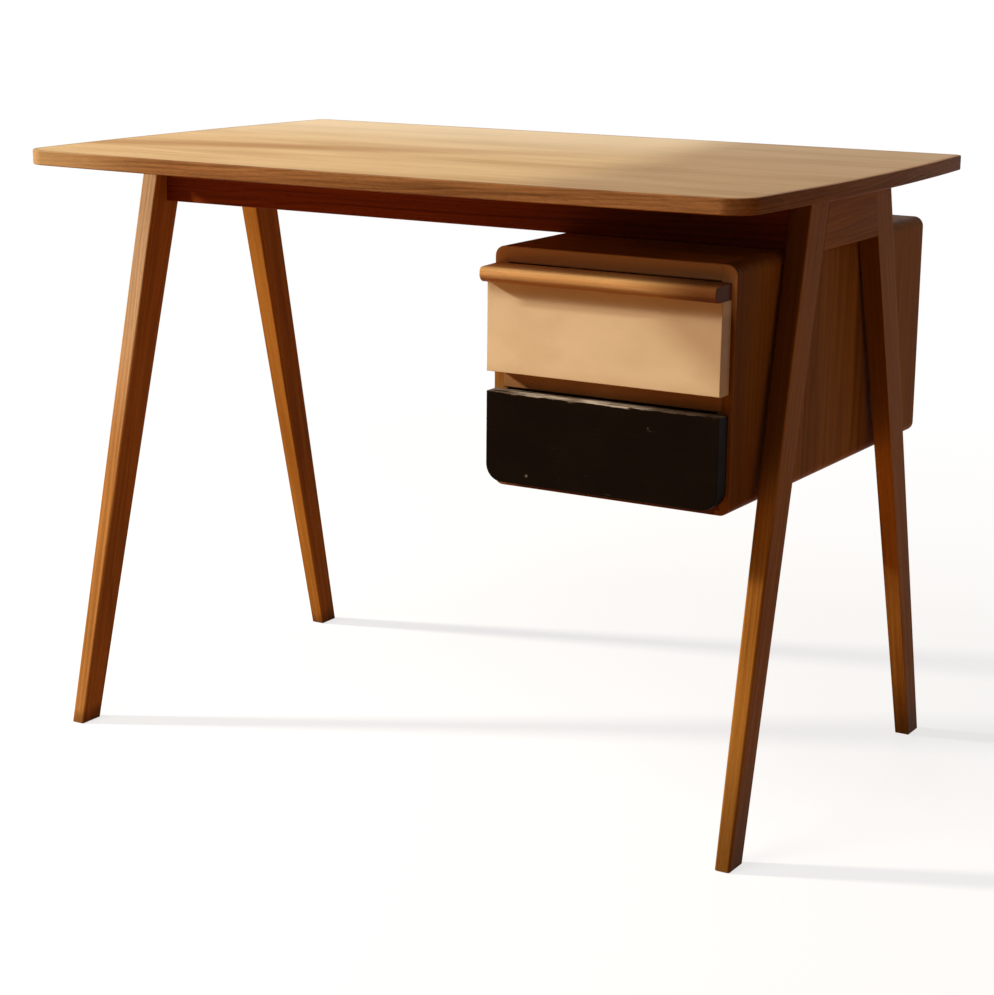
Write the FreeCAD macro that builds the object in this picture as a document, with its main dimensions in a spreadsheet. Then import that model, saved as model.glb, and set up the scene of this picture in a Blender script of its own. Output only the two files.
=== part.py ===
import FreeCAD, Part
import Sketcher
import math
import os
import re

# A small writing desk on two tapered A-frames. A bowed top rests on the frames and on two
# rails, and a casing with two drawers hangs under the rails beside the right-hand frame.
# Millimetres. X runs left to right, Y front to back, Z up from the floor. The origin lies on
# the floor under the centre of the top.

# Driving sizes. Every other size in this file is worked out from these.
SIZES = {
    # top
    "desk_height": 750.0,
    "top_width": 1004.0,
    "top_depth": 652.0,
    "top_thickness": 18.0,
    "top_bow_front": 17.0,
    "top_bow_side": 14.0,
    "top_front_corner_radius": 35.0,
    "top_rear_corner_radius": 12.0,
    "top_edge_chamfer": 1.5,
    # frames: insets are measured from the ends of the top, spreads from the frames' centre line
    "frame_inset": 45.0,
    "foot_inset": 37.0,
    "frame_centre": 18.5,
    "leg_splay": 10.5,
    "leg_spread_top": 117.0,
    "leg_width_top": 52.0,
    "leg_width_foot": 34.0,
    "leg_thick_top": 25.5,
    "leg_thick_foot": 18.5,
    "leg_edge_round": 3.0,
    "leg_foot_chamfer": 1.5,
    "rail_depth": 62.0,
    "rail_thickness": 22.0,
    "rail_setback": 12.0,
    "rail_chamfer": 1.0,
    "tenon_thickness": 8.0,
    "tenon_height": 24.0,
    "tenon_length": 20.0,
    "tenon_end_gap": 0.5,
    "rail_tenon_height": 42.0,
    "rail_tenon_length": 18.0,
    "block_leg": 50.0,
    "block_height": 30.0,
    "block_side_gap": 0.1,
    "block_screw_inset": 16.0,
    # screws
    "screw_diameter": 4.0,
    "screw_head_diameter": 7.6,
    "screw_head_height": 2.6,
    "screw_length": 35.0,
    "screw_tip": 4.0,
    "screw_bite": 12.0,
    "screw_bore_gap": 0.1,
    "screw_end_gap": 1.0,
    "screw_head_gap": 0.4,
    "rail_screw_share": 0.38,
    "hanger_screw_inset": 55.0,
    # casing
    "case_width": 300.0,
    "case_height": 276.0,
    "case_rear_room": 50.0,
    "case_forward": 142.0,
    "case_side_gap": 2.0,
    "case_corner_radius": 12.0,
    "case_edge_chamfer": 1.0,
    "board": 18.0,
    "lower_bay": 97.0,
    "tongue_length": 6.0,
    "tongue_thickness": 6.0,
    "housing_depth": 5.0,
    "back_thickness": 6.0,
    "back_rebate": 8.0,
    "wood_fit": 0.1,
    # runners and stops
    "runner_projection": 8.0,
    "runner_let_in": 3.0,
    "runner_height": 10.0,
    "runner_setback": 6.0,
    "runner_short": 22.0,
    "runner_lead_in": 4.0,
    "runner_fit": 0.5,
    "stop_length": 20.0,
    "stop_height": 30.0,
    "stop_width": 14.0,
    "stop_rise": 20.0,
    "stop_gap": 0.3,
    # drawer fronts and handle
    "front_thickness": 22.0,
    "front_gap": 2.0,
    "front_inset": 4.0,
    "front_reveal": 3.0,
    "front_lap": 9.0,
    "front_corner_radius": 20.0,
    "front_edge_chamfer": 1.0,
    "handle_height": 17.0,
    "handle_projection": 13.0,
    "handle_slope": 2.0,
    "handle_head_gap": 2.0,
    "handle_nose_top": 7.0,
    "handle_nose_low": 5.0,
    "handle_tongue": 6.0,
    "handle_tongue_inset": 12.0,
    # drawer boxes
    "box_side_gap": 1.5,
    "box_floor_gap": 3.0,
    "box_top_drop": 3.0,
    "box_length": 500.0,
    "box_wall": 12.0,
    "box_wall_chamfer": 1.0,
    "box_housing": 6.0,
    "bottom_thickness": 5.0,
    "bottom_rise": 6.0,
    "bottom_groove": 5.0,
    "back_drop": 6.0,
    "pin_share": 0.25,
    "pin_flare_share": 0.15,
}
# dovetails at each rear corner of a drawer
TAILS = 3

# Sizes that follow from the driving ones, written in the same words.
DERIVED = {
    "frame_top": "desk_height - top_thickness",
    "rail_low": "frame_top - rail_depth",
    "corner_x": "top_width / 2 - top_bow_side",
    "front_corner_y": "top_bow_front - top_depth / 2",
    "side_chord": "top_depth - top_bow_front",
    "front_arc_radius": "(corner_x ^ 2 + top_bow_front ^ 2) / (2 * top_bow_front)",
    "side_arc_radius": "(side_chord ^ 2 / 4 + top_bow_side ^ 2) / (2 * top_bow_side)",
    "frame_half_width": "top_width / 2 - frame_inset",
    "leg_spread_foot": "top_depth / 2 - foot_inset",
    "foot_centre": "leg_spread_foot - leg_width_foot / 2",
    "head_centre": "leg_spread_top - leg_width_top / 2",
    "leg_blank": "leg_thick_top + leg_splay",
    "inner_top": "leg_spread_top - leg_width_top",
    "inner_foot": "leg_spread_foot - leg_width_foot",
    "inner_low": "inner_top + (inner_foot - inner_top) * rail_depth / frame_top",
    "inner_mid": "inner_top + (inner_foot - inner_top) * rail_depth / 2 / frame_top",
    "splay_low": "leg_splay * rail_depth / frame_top",
    "thick_low": "leg_thick_top - (leg_thick_top - leg_thick_foot) * rail_depth / frame_top",
    "tenon_reach": "inner_mid + tenon_length",
    "tenon_bottom": "rail_depth / 2 - tenon_height / 2",
    "rail_front": "frame_centre - leg_spread_top + rail_setback",
    "rear_rail_front": "frame_centre + leg_spread_top - rail_setback - rail_thickness",
    "rail_half_top": "frame_half_width - leg_thick_top / 2",
    "rail_half_low": "frame_half_width + splay_low - thick_low / 2",
    "rail_tenon_low": "rail_depth / 2 - rail_tenon_height / 2",
    "rear_tenon_front": "rear_rail_front + rail_thickness - tenon_thickness",
    "screw_bore": "screw_diameter + 2 * screw_bore_gap",
    "screw_head_bore": "screw_head_diameter + 2 * screw_head_gap",
    "top_screw_head": "frame_top + screw_bite - screw_length",
    "top_screw_seat": "top_screw_head + screw_head_height",
    "rail_screw_x": "rail_half_top * rail_screw_share",
    "case_depth": "box_length + case_rear_room",
    "case_right": "frame_half_width - leg_thick_top / 2 - case_side_gap",
    "case_left": "case_right - case_width",
    "case_front": "rail_front - case_forward",
    "case_low": "rail_low - case_height",
    "case_inside": "case_width - 2 * board",
    "case_clear_depth": "case_depth - back_thickness - wood_fit",
    "upper_bay": "case_height - 3 * board - lower_bay",
    "lower_floor": "case_low + board",
    "upper_floor": "lower_floor + lower_bay + board",
    "front_width": "case_width - 2 * front_inset",
    "front_back_y": "case_front - front_gap",
    "front_face_y": "front_back_y - front_thickness",
    "lower_front_low": "lower_floor - front_lap",
    "lower_front_height": "lower_floor + lower_bay - front_reveal - lower_front_low",
    "upper_front_low": "upper_floor + front_reveal",
    "handle_top": "upper_floor + upper_bay - handle_head_gap",
    "handle_low": "handle_top - handle_height",
    "handle_depth": "front_thickness + handle_projection",
    "upper_front_height": "handle_low - upper_front_low",
    "box_left": "case_left + board + box_side_gap",
    "box_width": "case_inside - 2 * box_side_gap",
    "box_inside": "box_width - 2 * box_wall",
    "box_start": "front_back_y - box_housing",
    "side_length": "box_housing + box_length",
    "lower_box_low": "lower_floor + box_floor_gap",
    "lower_box_height": "lower_front_low + lower_front_height - box_top_drop - lower_box_low",
    "upper_box_low": "upper_floor + box_floor_gap",
    "upper_box_height": "upper_front_low + upper_front_height - box_top_drop - upper_box_low",
    "back_rise": "bottom_rise + bottom_thickness + 2 * wood_fit",
    "back_height_lower": "lower_box_height - back_drop - back_rise",
    "back_height_upper": "upper_box_height - back_drop - back_rise",
    "runner_length": "box_length - front_gap - runner_setback - runner_short",
    "groove_depth": "runner_projection - box_side_gap + runner_fit",
    "groove_start": "box_housing + front_gap + runner_setback - runner_fit",
}

doc = FreeCAD.newDocument("writing_desk")
sheet = doc.addObject("Spreadsheet::Sheet", "Sizes")
for row, (alias, number) in enumerate(SIZES.items(), start=1):
    sheet.set(f"A{row}", alias.replace("_", " "))
    sheet.set(f"B{row}", str(number))
    sheet.setAlias(f"B{row}", alias)
doc.recompute()

NODES = []


def expr(text):
    """Turn plain words into an expression on the sheet, with the derived sizes written out."""
    def swap(match):
        word = match.group(0)
        if word in DERIVED:
            return "(" + expr(DERIVED[word]) + ")"
        return "<<Sizes>>." + word
    return re.sub(r"[a-z]\w*", swap, text)


def value(text):
    """The present number of an expression in the sheet's words."""
    return float(sheet.evalExpression(expr(text)))


def new_body(label, x="0", y="0", z="0", kept=True):
    """An empty body at a place bound to the sheet; a kept body is written out as a node."""
    body = doc.addObject("PartDesign::Body", label)
    body.Label = label
    for axis, text in zip("xyz", (x, y, z)):
        body.setExpression("Placement.Base." + axis, expr(text))
    if kept:
        NODES.append(body)
    return body


def new_sketch(body, role, lift="0"):
    """A sketch on one of the body's own origin planes, lifted along the plane's normal."""
    sketch = body.newObject("Sketcher::SketchObject", body.Label + "_sketch")
    plane = next(item for item in body.Origin.OriginFeatures if item.Role == role)
    sketch.AttachmentSupport = [(plane, "")]
    sketch.MapMode = "FlatFace"
    sketch.setExpression("AttachmentOffset.Base.z", expr(lift))
    return sketch


def pin_point(sketch, geometry, point, x, y):
    """Bind one point of a sketch to a pair of expressions."""
    for kind, text in (("DistanceX", x), ("DistanceY", y)):
        index = sketch.addConstraint(Sketcher.Constraint(kind, -1, 1, geometry, point, value(text)))
        sketch.setExpression(f"Constraints[{index}]", expr(text))


def add_polygon(sketch, corners):
    """A closed outline of straight edges, each corner a pair of expressions."""
    places = [FreeCAD.Vector(value(x), value(y), 0) for x, y in corners]
    first = sketch.GeometryCount
    count = len(corners)
    for i in range(count):
        sketch.addGeometry(Part.LineSegment(places[i], places[(i + 1) % count]), False)
    for i in range(count):
        sketch.addConstraint(Sketcher.Constraint("Coincident", first + i, 2, first + (i + 1) % count, 1))
    for i, (x, y) in enumerate(corners):
        pin_point(sketch, first + i, 1, x, y)


def add_rectangle(sketch, x, y, width, height):
    """A rectangle from its lower left corner."""
    right = f"{x} + {width}"
    upper = f"{y} + {height}"
    add_polygon(sketch, [(x, y), (right, y), (right, upper), (x, upper)])


def add_circle(sketch, x, y, diameter):
    """A circle by its centre and diameter."""
    centre = FreeCAD.Vector(value(x), value(y), 0)
    index = sketch.addGeometry(Part.Circle(centre, FreeCAD.Vector(0, 0, 1), value(diameter) / 2), False)
    pin_point(sketch, index, 3, x, y)
    size = sketch.addConstraint(Sketcher.Constraint("Diameter", index, value(diameter)))
    sketch.setExpression(f"Constraints[{size}]", expr(diameter))


def finish_extrusion(body, feature, sketch, length, side, reverse):
    """Settle what pads and pockets share."""
    feature.Profile = sketch
    feature.SideType = side
    feature.Reversed = reverse
    if length is None:
        feature.Type = "ThroughAll"
    else:
        feature.setExpression("Length", expr(length))
    sketch.Visibility = False
    body.Tip = feature
    doc.recompute()
    return feature


def add_pad(body, sketch, length, side="One side", reverse=False):
    """Add material along the sketch's normal."""
    feature = body.newObject("PartDesign::Pad", body.Label + "_pad")
    return finish_extrusion(body, feature, sketch, length, side, reverse)


def add_pocket(body, sketch, length=None, side="One side", reverse=False):
    """Cut against the sketch's normal, and make sure that something went."""
    before = body.Shape.Volume
    feature = body.newObject("PartDesign::Pocket", body.Label + "_pocket")
    finish_extrusion(body, feature, sketch, length, side, reverse)
    if not body.Shape.Volume < before:
        raise RuntimeError(f"a pocket in {body.Label} cuts nothing")
    return feature


def round_edges(body, kind, size, wanted):
    """Fillet or chamfer the edges of the tip that the test picks, in the body's own place."""
    tip = body.Tip
    names = [f"Edge{i}" for i, edge in enumerate(tip.Shape.Edges, start=1) if wanted(edge)]
    if not names:
        raise RuntimeError(f"no edge to dress in {body.Label}")
    feature = body.newObject("PartDesign::" + kind, body.Label + "_" + kind.lower())
    feature.Base = (tip, names)
    feature.setExpression("Radius" if kind == "Fillet" else "Size", expr(size))
    body.Tip = feature
    doc.recompute()
    return feature


def lies_at(edge, **place):
    """Whether both ends and the middle of an edge lie at the given coordinates."""
    points = [vertex.Point for vertex in edge.Vertexes] + [edge.CenterOfMass]
    return all(math.isclose(getattr(point, axis), number, abs_tol=Part.Precision.confusion() * 10)
               for axis, number in place.items() for point in points)


def board_along_y(label, x, y, z, width, height, depth, kept=True):
    """A board whose section lies in X and Z and which runs back along Y."""
    body = new_body(label, x, y, z, kept)
    section = new_sketch(body, "XZ_Plane")
    add_rectangle(section, "0", "0", width, height)
    add_pad(body, section, depth, reverse=True)
    return body


def cut_along_y(body, rectangles, start="0", length=None):
    """Cut rectangles of the X and Z plane into a body, backwards from a distance along Y."""
    section = new_sketch(body, "XZ_Plane", f"-1 * ({start})")
    for rectangle in rectangles:
        add_rectangle(section, *rectangle)
    add_pocket(body, section, length)


# The top: the front and both ends are bowed, the back edge is straight.
def make_top():
    body = new_body("tabletop", z="frame_top")
    sketch = new_sketch(body, "XY_Plane")
    corners = [("-1 * corner_x", "front_corner_y"), ("corner_x", "front_corner_y"),
               ("corner_x", "top_depth / 2"), ("-1 * corner_x", "top_depth / 2")]
    bows = {0: ("top_bow_front", "front_arc_radius"), 1: ("top_bow_side", "side_arc_radius"),
            3: ("top_bow_side", "side_arc_radius")}
    places = [FreeCAD.Vector(value(x), value(y), 0) for x, y in corners]
    for i, start in enumerate(places):
        end = places[(i + 1) % 4]
        chord = end - start
        if i in bows:
            outward = FreeCAD.Vector(chord.y, -chord.x, 0).normalize()
            crown = (start + end) / 2 + outward * value(bows[i][0])
            sketch.addGeometry(Part.Arc(start, crown, end), False)
        else:
            sketch.addGeometry(Part.LineSegment(start, end), False)
    # an arc is drawn anticlockwise whichever way its ends are given, so both ends are pinned
    for i, corner in enumerate(corners):
        pin_point(sketch, i, 1, *corner)
        sketch.addConstraint(Sketcher.Constraint("Coincident", i, 2, (i + 1) % 4, 1))
    for i, (bow, radius) in bows.items():
        size = sketch.addConstraint(Sketcher.Constraint("Radius", i, value(radius)))
        sketch.setExpression(f"Constraints[{size}]", expr(radius))
    add_pad(body, sketch, "top_thickness")
    thickness = value("top_thickness")
    for radius, way in (("top_front_corner_radius", -1), ("top_rear_corner_radius", 1)):
        round_edges(body, "Fillet", radius,
                    lambda edge: math.isclose(edge.Length, thickness) and way * edge.CenterOfMass.y > 0
                    and abs(edge.tangentAt(edge.FirstParameter).z) > 0.5
                    and abs(edge.CenterOfMass.x) > value("corner_x") - value("top_bow_side"))
    round_edges(body, "Chamfer", "top_edge_chamfer",
                lambda edge: lies_at(edge, z=0) or lies_at(edge, z=thickness))
    bores = new_sketch(body, "XY_Plane")
    for x, y in top_screw_places():
        add_circle(bores, x, y, "screw_bore")
    add_pocket(body, bores, "screw_bite + screw_end_gap", reverse=True)


def top_screw_places():
    """Where the top is screwed down: through the corner blocks and through both rails."""
    places = []
    for side in (-1, 1):
        reach = f"{side} * (rail_half_top - block_side_gap - block_screw_inset)"
        places.append((reach, "rail_front + rail_thickness + block_screw_inset"))
        places.append((reach, "rear_rail_front - block_screw_inset"))
        places.append((f"{side} * rail_screw_x", "rail_front + rail_thickness / 2"))
        places.append((f"{side} * rail_screw_x", "rear_rail_front + rail_thickness / 2"))
    return places


# The frames. A leg tapers both ways, leans towards its partner and splays outwards a little.
# Side is 1 on the right and -1 on the left, face is -1 at the front and 1 at the rear.
def make_leg(label, side, face):
    body = new_body(label, f"{side} * (frame_half_width + leg_splay)",
                    f"frame_centre + {face} * foot_centre")
    profile = new_sketch(body, "YZ_Plane")
    head = f"{face} * (head_centre - foot_centre)"
    add_polygon(profile, [("-1 * leg_width_foot / 2", "0"), ("leg_width_foot / 2", "0"),
                          (f"{head} + leg_width_top / 2", "frame_top"),
                          (f"{head} - leg_width_top / 2", "frame_top")])
    add_pad(body, profile, "2 * leg_blank", side="Symmetric")
    shave_sides(body, "leg_thick_foot", f"{-side} * leg_splay", "leg_thick_top", "frame_top")
    tall = value("frame_top") / 2
    middle = value(f"{face} * (head_centre - foot_centre) / 2")
    round_edges(body, "Fillet", "leg_edge_round",
                lambda edge: edge.Length > tall and face * (edge.CenterOfMass.y - middle) > 0)
    round_edges(body, "Chamfer", "leg_foot_chamfer", lambda edge: lies_at(edge, z=0))
    lean = f"{-side} * (leg_splay - splay_low / 2)"
    mortise = new_sketch(body, "YZ_Plane", lean)
    edges = [f"{face} * (inner_top - tenon_length / 2 - foot_centre)",
             f"{face} * (tenon_reach + tenon_end_gap - foot_centre)"]
    low = "rail_low + tenon_bottom - wood_fit"
    high = "rail_low + tenon_bottom + tenon_height + wood_fit"
    add_polygon(mortise, [(edges[0], low), (edges[1], low), (edges[1], high), (edges[0], high)])
    add_pocket(body, mortise, "tenon_thickness + 2 * wood_fit", side="Symmetric")
    edges = [f"{side} * (rail_half_top - tenon_end_gap - frame_half_width - leg_splay)",
             f"{side} * (rail_half_top + rail_tenon_length + tenon_end_gap - frame_half_width - leg_splay)"]
    low = "rail_low + rail_tenon_low - wood_fit"
    high = "rail_low + rail_tenon_low + rail_tenon_height + wood_fit"
    tenon_y = "rail_front" if face < 0 else "rear_tenon_front"
    cross = new_sketch(body, "XZ_Plane",
                       f"frame_centre + {face} * foot_centre + wood_fit - {tenon_y}")
    add_polygon(cross, [(edges[0], low), (edges[1], low), (edges[1], high), (edges[0], high)])
    add_pocket(body, cross, "tenon_thickness + 2 * wood_fit")


def shave_sides(body, thick_low, shift, thick_high, height):
    """Plane both faces of a blank so that it thickens and leans as it rises."""
    waste = new_sketch(body, "XZ_Plane")
    for way in (-1, 1):
        far = f"{way} * 2 * leg_blank"
        add_polygon(waste, [(f"{way} * {thick_low} / 2", "0"), (far, "0"), (far, height),
                            (f"{shift} + {way} * {thick_high} / 2", height)])
    add_pocket(body, waste, side="Symmetric")


def make_side_rail(label, side):
    """The rail that closes an A-frame under the top, tenoned into both legs."""
    body = new_body(label, f"{side} * (frame_half_width + splay_low)", "frame_centre", "rail_low")
    profile = new_sketch(body, "YZ_Plane")
    add_polygon(profile, [("-1 * inner_low", "0"), ("inner_low", "0"),
                          ("inner_top", "rail_depth"), ("-1 * inner_top", "rail_depth")])
    add_pad(body, profile, "2 * leg_blank", side="Symmetric")
    shave_sides(body, "thick_low", f"{-side} * splay_low", "leg_thick_top", "rail_depth")
    reach = value("inner_low")
    round_edges(body, "Chamfer", "rail_chamfer",
                lambda edge: lies_at(edge, z=0) and edge.Length > reach)
    tenons = new_sketch(body, "YZ_Plane", f"{-side} * splay_low / 2")
    add_rectangle(tenons, "-1 * tenon_reach", "tenon_bottom", "2 * tenon_reach", "tenon_height")
    add_pad(body, tenons, "tenon_thickness", side="Symmetric")


def make_cross_rail(label, front, tenon_front):
    """A rail between the frames, with bare-faced tenons that pass the side rails' tenons."""
    body = new_body(label, y=front, z="rail_low")
    section = new_sketch(body, "XZ_Plane")
    add_polygon(section, [("-1 * rail_half_low", "0"), ("rail_half_low", "0"),
                          ("rail_half_top", "rail_depth"), ("-1 * rail_half_top", "rail_depth")])
    add_pad(body, section, "rail_thickness", reverse=True)
    half = value("rail_half_top")
    round_edges(body, "Chamfer", "rail_chamfer",
                lambda edge: lies_at(edge, z=0) and edge.Length > half)
    tenons = new_sketch(body, "XZ_Plane", f"({front}) - ({tenon_front})")
    add_rectangle(tenons, "-1 * rail_half_top - rail_tenon_length", "rail_tenon_low",
                  "2 * rail_half_top + 2 * rail_tenon_length", "rail_tenon_height")
    add_pad(body, tenons, "tenon_thickness", reverse=True)
    screws = new_sketch(body, "XY_Plane")
    wells = new_sketch(body, "XY_Plane")
    for side in (-1, 1):
        place = (f"{side} * rail_screw_x", "rail_thickness / 2")
        add_circle(screws, *place, "screw_bore")
        add_circle(wells, *place, "screw_head_bore")
    add_pocket(body, screws, reverse=True)
    add_pocket(body, wells, "top_screw_seat - rail_low", reverse=True)
    pilots = new_sketch(body, "XY_Plane")
    for x in hanger_places():
        add_circle(pilots, x, "rail_thickness / 2", "screw_bore")
    add_pocket(body, pilots, "screw_length - board + screw_end_gap", reverse=True)


def hanger_places():
    """Where along X the casing is screwed up to the rails."""
    return ["case_left + hanger_screw_inset", "case_right - hanger_screw_inset"]


def make_corner_block(label, side, face):
    """A three-sided block glued into the corner of a rail and a frame, screwed to the top."""
    y = "rail_front + rail_thickness" if face < 0 else "rear_rail_front"
    body = new_body(label, f"{side} * (rail_half_top - block_side_gap)", y, "frame_top - block_height")
    sketch = new_sketch(body, "XY_Plane")
    add_polygon(sketch, [("0", "0"), (f"{-side} * block_leg", "0"), ("0", f"{-face} * block_leg")])
    add_pad(body, sketch, "block_height")
    place = (f"{-side} * block_screw_inset", f"{-face} * block_screw_inset")
    bore = new_sketch(body, "XY_Plane")
    add_circle(bore, *place, "screw_bore")
    add_pocket(body, bore, reverse=True)
    well = new_sketch(body, "XY_Plane")
    add_circle(well, *place, "screw_head_bore")
    add_pocket(body, well, "top_screw_seat - frame_top + block_height", reverse=True)


# The casing: two rounded sides that hold a top, a divider, a bottom and a back.
def make_case_side(label, x, inner):
    """One side; inner is 1 where its inner face looks to the right and 0 where to the left."""
    body = board_along_y(label, x, "case_front", "case_low", "board", "case_height", "case_depth")
    outer_x = 0 if inner else value("board")
    corners = (0, value("case_height"))
    round_edges(body, "Fillet", "case_corner_radius",
                lambda edge: any(lies_at(edge, x=outer_x, z=z) for z in corners))
    round_edges(body, "Chamfer", "case_edge_chamfer", lambda edge: lies_at(edge, y=0))
    tongue_x = "board - tongue_length - wood_fit" if inner else "0"
    tongue_z = "board / 2 - tongue_thickness / 2 - wood_fit"
    groove = ("tongue_length + wood_fit", "tongue_thickness + 2 * wood_fit")
    cut_along_y(body, [(tongue_x, tongue_z, *groove),
                       (tongue_x, f"case_height - board + {tongue_z}", *groove)])
    housing_x = "board - housing_depth - wood_fit" if inner else "0"
    cut_along_y(body, [(housing_x, "board + lower_bay - wood_fit",
                        "housing_depth + wood_fit", "board + 2 * wood_fit")])
    rebate_x = "board - back_rebate" if inner else "0"
    cut_along_y(body, [(rebate_x, "board - back_rebate", "back_rebate",
                        "case_height - 2 * board + 2 * back_rebate")], start="case_clear_depth")
    runner_x = "board - runner_let_in - wood_fit" if inner else "0"
    cut_along_y(body, [(runner_x, f"{runner_low(name)} - case_low - wood_fit", "runner_let_in + wood_fit",
                        "runner_height + 2 * wood_fit") for name in ("lower", "upper")],
                start="runner_setback - wood_fit", length="runner_length + 2 * wood_fit")


def runner_low(name):
    """The lower edge of a drawer's runners, which pass the middle dovetail of its back."""
    return f"({name}_box_low + back_rise + back_height_{name} / 2 - runner_height / 2)"


def make_case_lid(label, z, rebate_z):
    """The casing's top or bottom: a board with tongues that the sides' grooves take."""
    body = board_along_y(label, "case_left + board", "case_front", z,
                         "case_inside", "board", "case_depth")
    round_edges(body, "Chamfer", "case_edge_chamfer",
                lambda edge: lies_at(edge, y=0) and edge.Length > value("board"))
    tongues = new_sketch(body, "XZ_Plane")
    add_rectangle(tongues, "-1 * tongue_length", "board / 2 - tongue_thickness / 2",
                  "case_inside + 2 * tongue_length", "tongue_thickness")
    add_pad(body, tongues, "case_depth", reverse=True)
    cut_along_y(body, [("-1 * tongue_length", rebate_z, "case_inside + 2 * tongue_length",
                        "back_rebate")], start="case_clear_depth")
    return body


def make_casing():
    make_case_side("casing_left_side", "case_left", 1)
    make_case_side("casing_right_side", "case_right - board", 0)
    make_case_lid("casing_bottom", "case_low", "board - back_rebate")
    lid = make_case_lid("casing_top", "rail_low - board", "0")
    bores = new_sketch(lid, "XY_Plane")
    wells = new_sketch(lid, "XY_Plane")
    for x in hanger_places():
        for rail in ("rail_front", "rear_rail_front"):
            place = (f"{x} - case_left - board", f"{rail} + rail_thickness / 2 - case_front")
            add_circle(bores, *place, "screw_bore")
            add_circle(wells, *place, "screw_head_bore")
    add_pocket(lid, bores, reverse=True)
    add_pocket(lid, wells, "screw_head_height", reverse=True)
    board_along_y("casing_divider", "case_left + board - housing_depth", "case_front",
                  "lower_floor + lower_bay", "case_inside + 2 * housing_depth", "board",
                  "case_clear_depth - wood_fit")
    divider = NODES[-1]
    round_edges(divider, "Chamfer", "case_edge_chamfer",
                lambda edge: lies_at(edge, y=0) and edge.Length > value("board"))
    board_along_y("casing_back", "case_left + board - back_rebate + wood_fit",
                  "case_front + case_clear_depth + wood_fit",
                  "lower_floor - back_rebate + wood_fit",
                  "case_inside + 2 * back_rebate - 2 * wood_fit",
                  "case_height - 2 * board + 2 * back_rebate - 2 * wood_fit", "back_thickness")


def make_runner(label, inner, name):
    """A hardwood strip glued in a casing side, which the groove of a drawer side rides on."""
    x = "case_left + board - runner_let_in" if inner else "case_right - board - runner_projection"
    body = board_along_y(label, x, "case_front + runner_setback", runner_low(name),
                         "runner_let_in + runner_projection", "runner_height", "runner_length")
    far = value("runner_let_in + runner_projection") if inner else 0
    round_edges(body, "Chamfer", "runner_lead_in", lambda edge: lies_at(edge, y=0, x=far))


# The drawer fronts. Each hides the casing's front edges and takes its box in housings.
def make_front(name):
    """A front panel with the housings for the box's sides and bottom cut into its back."""
    body = board_along_y(name + "_drawer_front", "case_left + front_inset", "front_face_y",
                         name + "_front_low", "front_width", name + "_front_height", "front_thickness")
    inset = "box_left - case_left - front_inset"
    rise = f"{name}_box_low - {name}_front_low"
    if name == "lower":
        ends = (0, value("front_width"))
        round_edges(body, "Fillet", "front_corner_radius",
                    lambda edge: any(lies_at(edge, x=x, z=0) for x in ends))
    round_edges(body, "Chamfer", "front_edge_chamfer", lambda edge: lies_at(edge, y=0))
    housings = [(f"{inset} + {x} - wood_fit", f"{rise} - wood_fit", "box_wall + 2 * wood_fit",
                 f"{name}_box_height + 2 * wood_fit") for x in ("0", "box_width - box_wall")]
    cut_along_y(body, housings, start="front_thickness - box_housing - wood_fit")
    cut_along_y(body, [(f"{inset} + box_wall - bottom_groove", f"{rise} + bottom_rise",
                        "box_inside + 2 * bottom_groove", "bottom_thickness + 2 * wood_fit")],
                start="front_thickness - bottom_groove")
    return body


def make_handle(panel):
    """The rounded wooden strip along the upper front, set on a tongue of the panel."""
    body = new_body("upper_drawer_handle", "case_left + front_inset",
                    "front_face_y - handle_projection", "handle_low")
    section = new_sketch(body, "YZ_Plane")
    add_polygon(section, [("0", "0"), ("handle_depth", "0"), ("handle_depth", "handle_height"),
                          ("0", "handle_height - handle_slope")])
    add_pad(body, section, "front_width")
    nose = value("handle_height - handle_slope")
    round_edges(body, "Fillet", "handle_nose_top", lambda edge: lies_at(edge, y=0, z=nose))
    round_edges(body, "Fillet", "handle_nose_low", lambda edge: lies_at(edge, y=0, z=0))
    width = "front_width - 2 * handle_tongue_inset"
    tongue_y = "front_thickness / 2 - handle_tongue / 2"
    tongue = new_sketch(panel, "XY_Plane", "upper_front_height")
    add_rectangle(tongue, "handle_tongue_inset", tongue_y, width, "handle_tongue")
    add_pad(panel, tongue, "handle_tongue")
    groove = new_sketch(body, "XY_Plane")
    add_rectangle(groove, "handle_tongue_inset - wood_fit", f"handle_projection + {tongue_y} - wood_fit",
                  f"{width} + 2 * wood_fit", "handle_tongue + 2 * wood_fit")
    add_pocket(body, groove, "handle_tongue + wood_fit", reverse=True)


# The drawer boxes. The pins of the back and the sockets of the sides share one outline.
def pin_outline(tall, index, fit):
    """A dovetail pin seen from the side: wide at the back's inner face, narrow at its outer face.

    The first and the last pin are half pins that end at the board's edges.
    """
    pitch = f"({tall} / {TAILS})"
    middle = f"{pitch} * {index}"
    halves = [f"({pitch} * (pin_share + pin_flare_share) / 2 + {fit})", f"({pitch} * pin_share / 2 + {fit})"]
    if index == 0:
        below = [f"-1 * {fit}"] * 2
    else:
        below = [f"{middle} - {half}" for half in halves]
    if index == TAILS:
        above = [f"{tall} + {fit}"] * 2
    else:
        above = [f"{middle} + {half}" for half in halves]
    return [("0", below[0]), ("box_wall", below[1]), ("box_wall", above[1]), ("0", above[0])]


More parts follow.
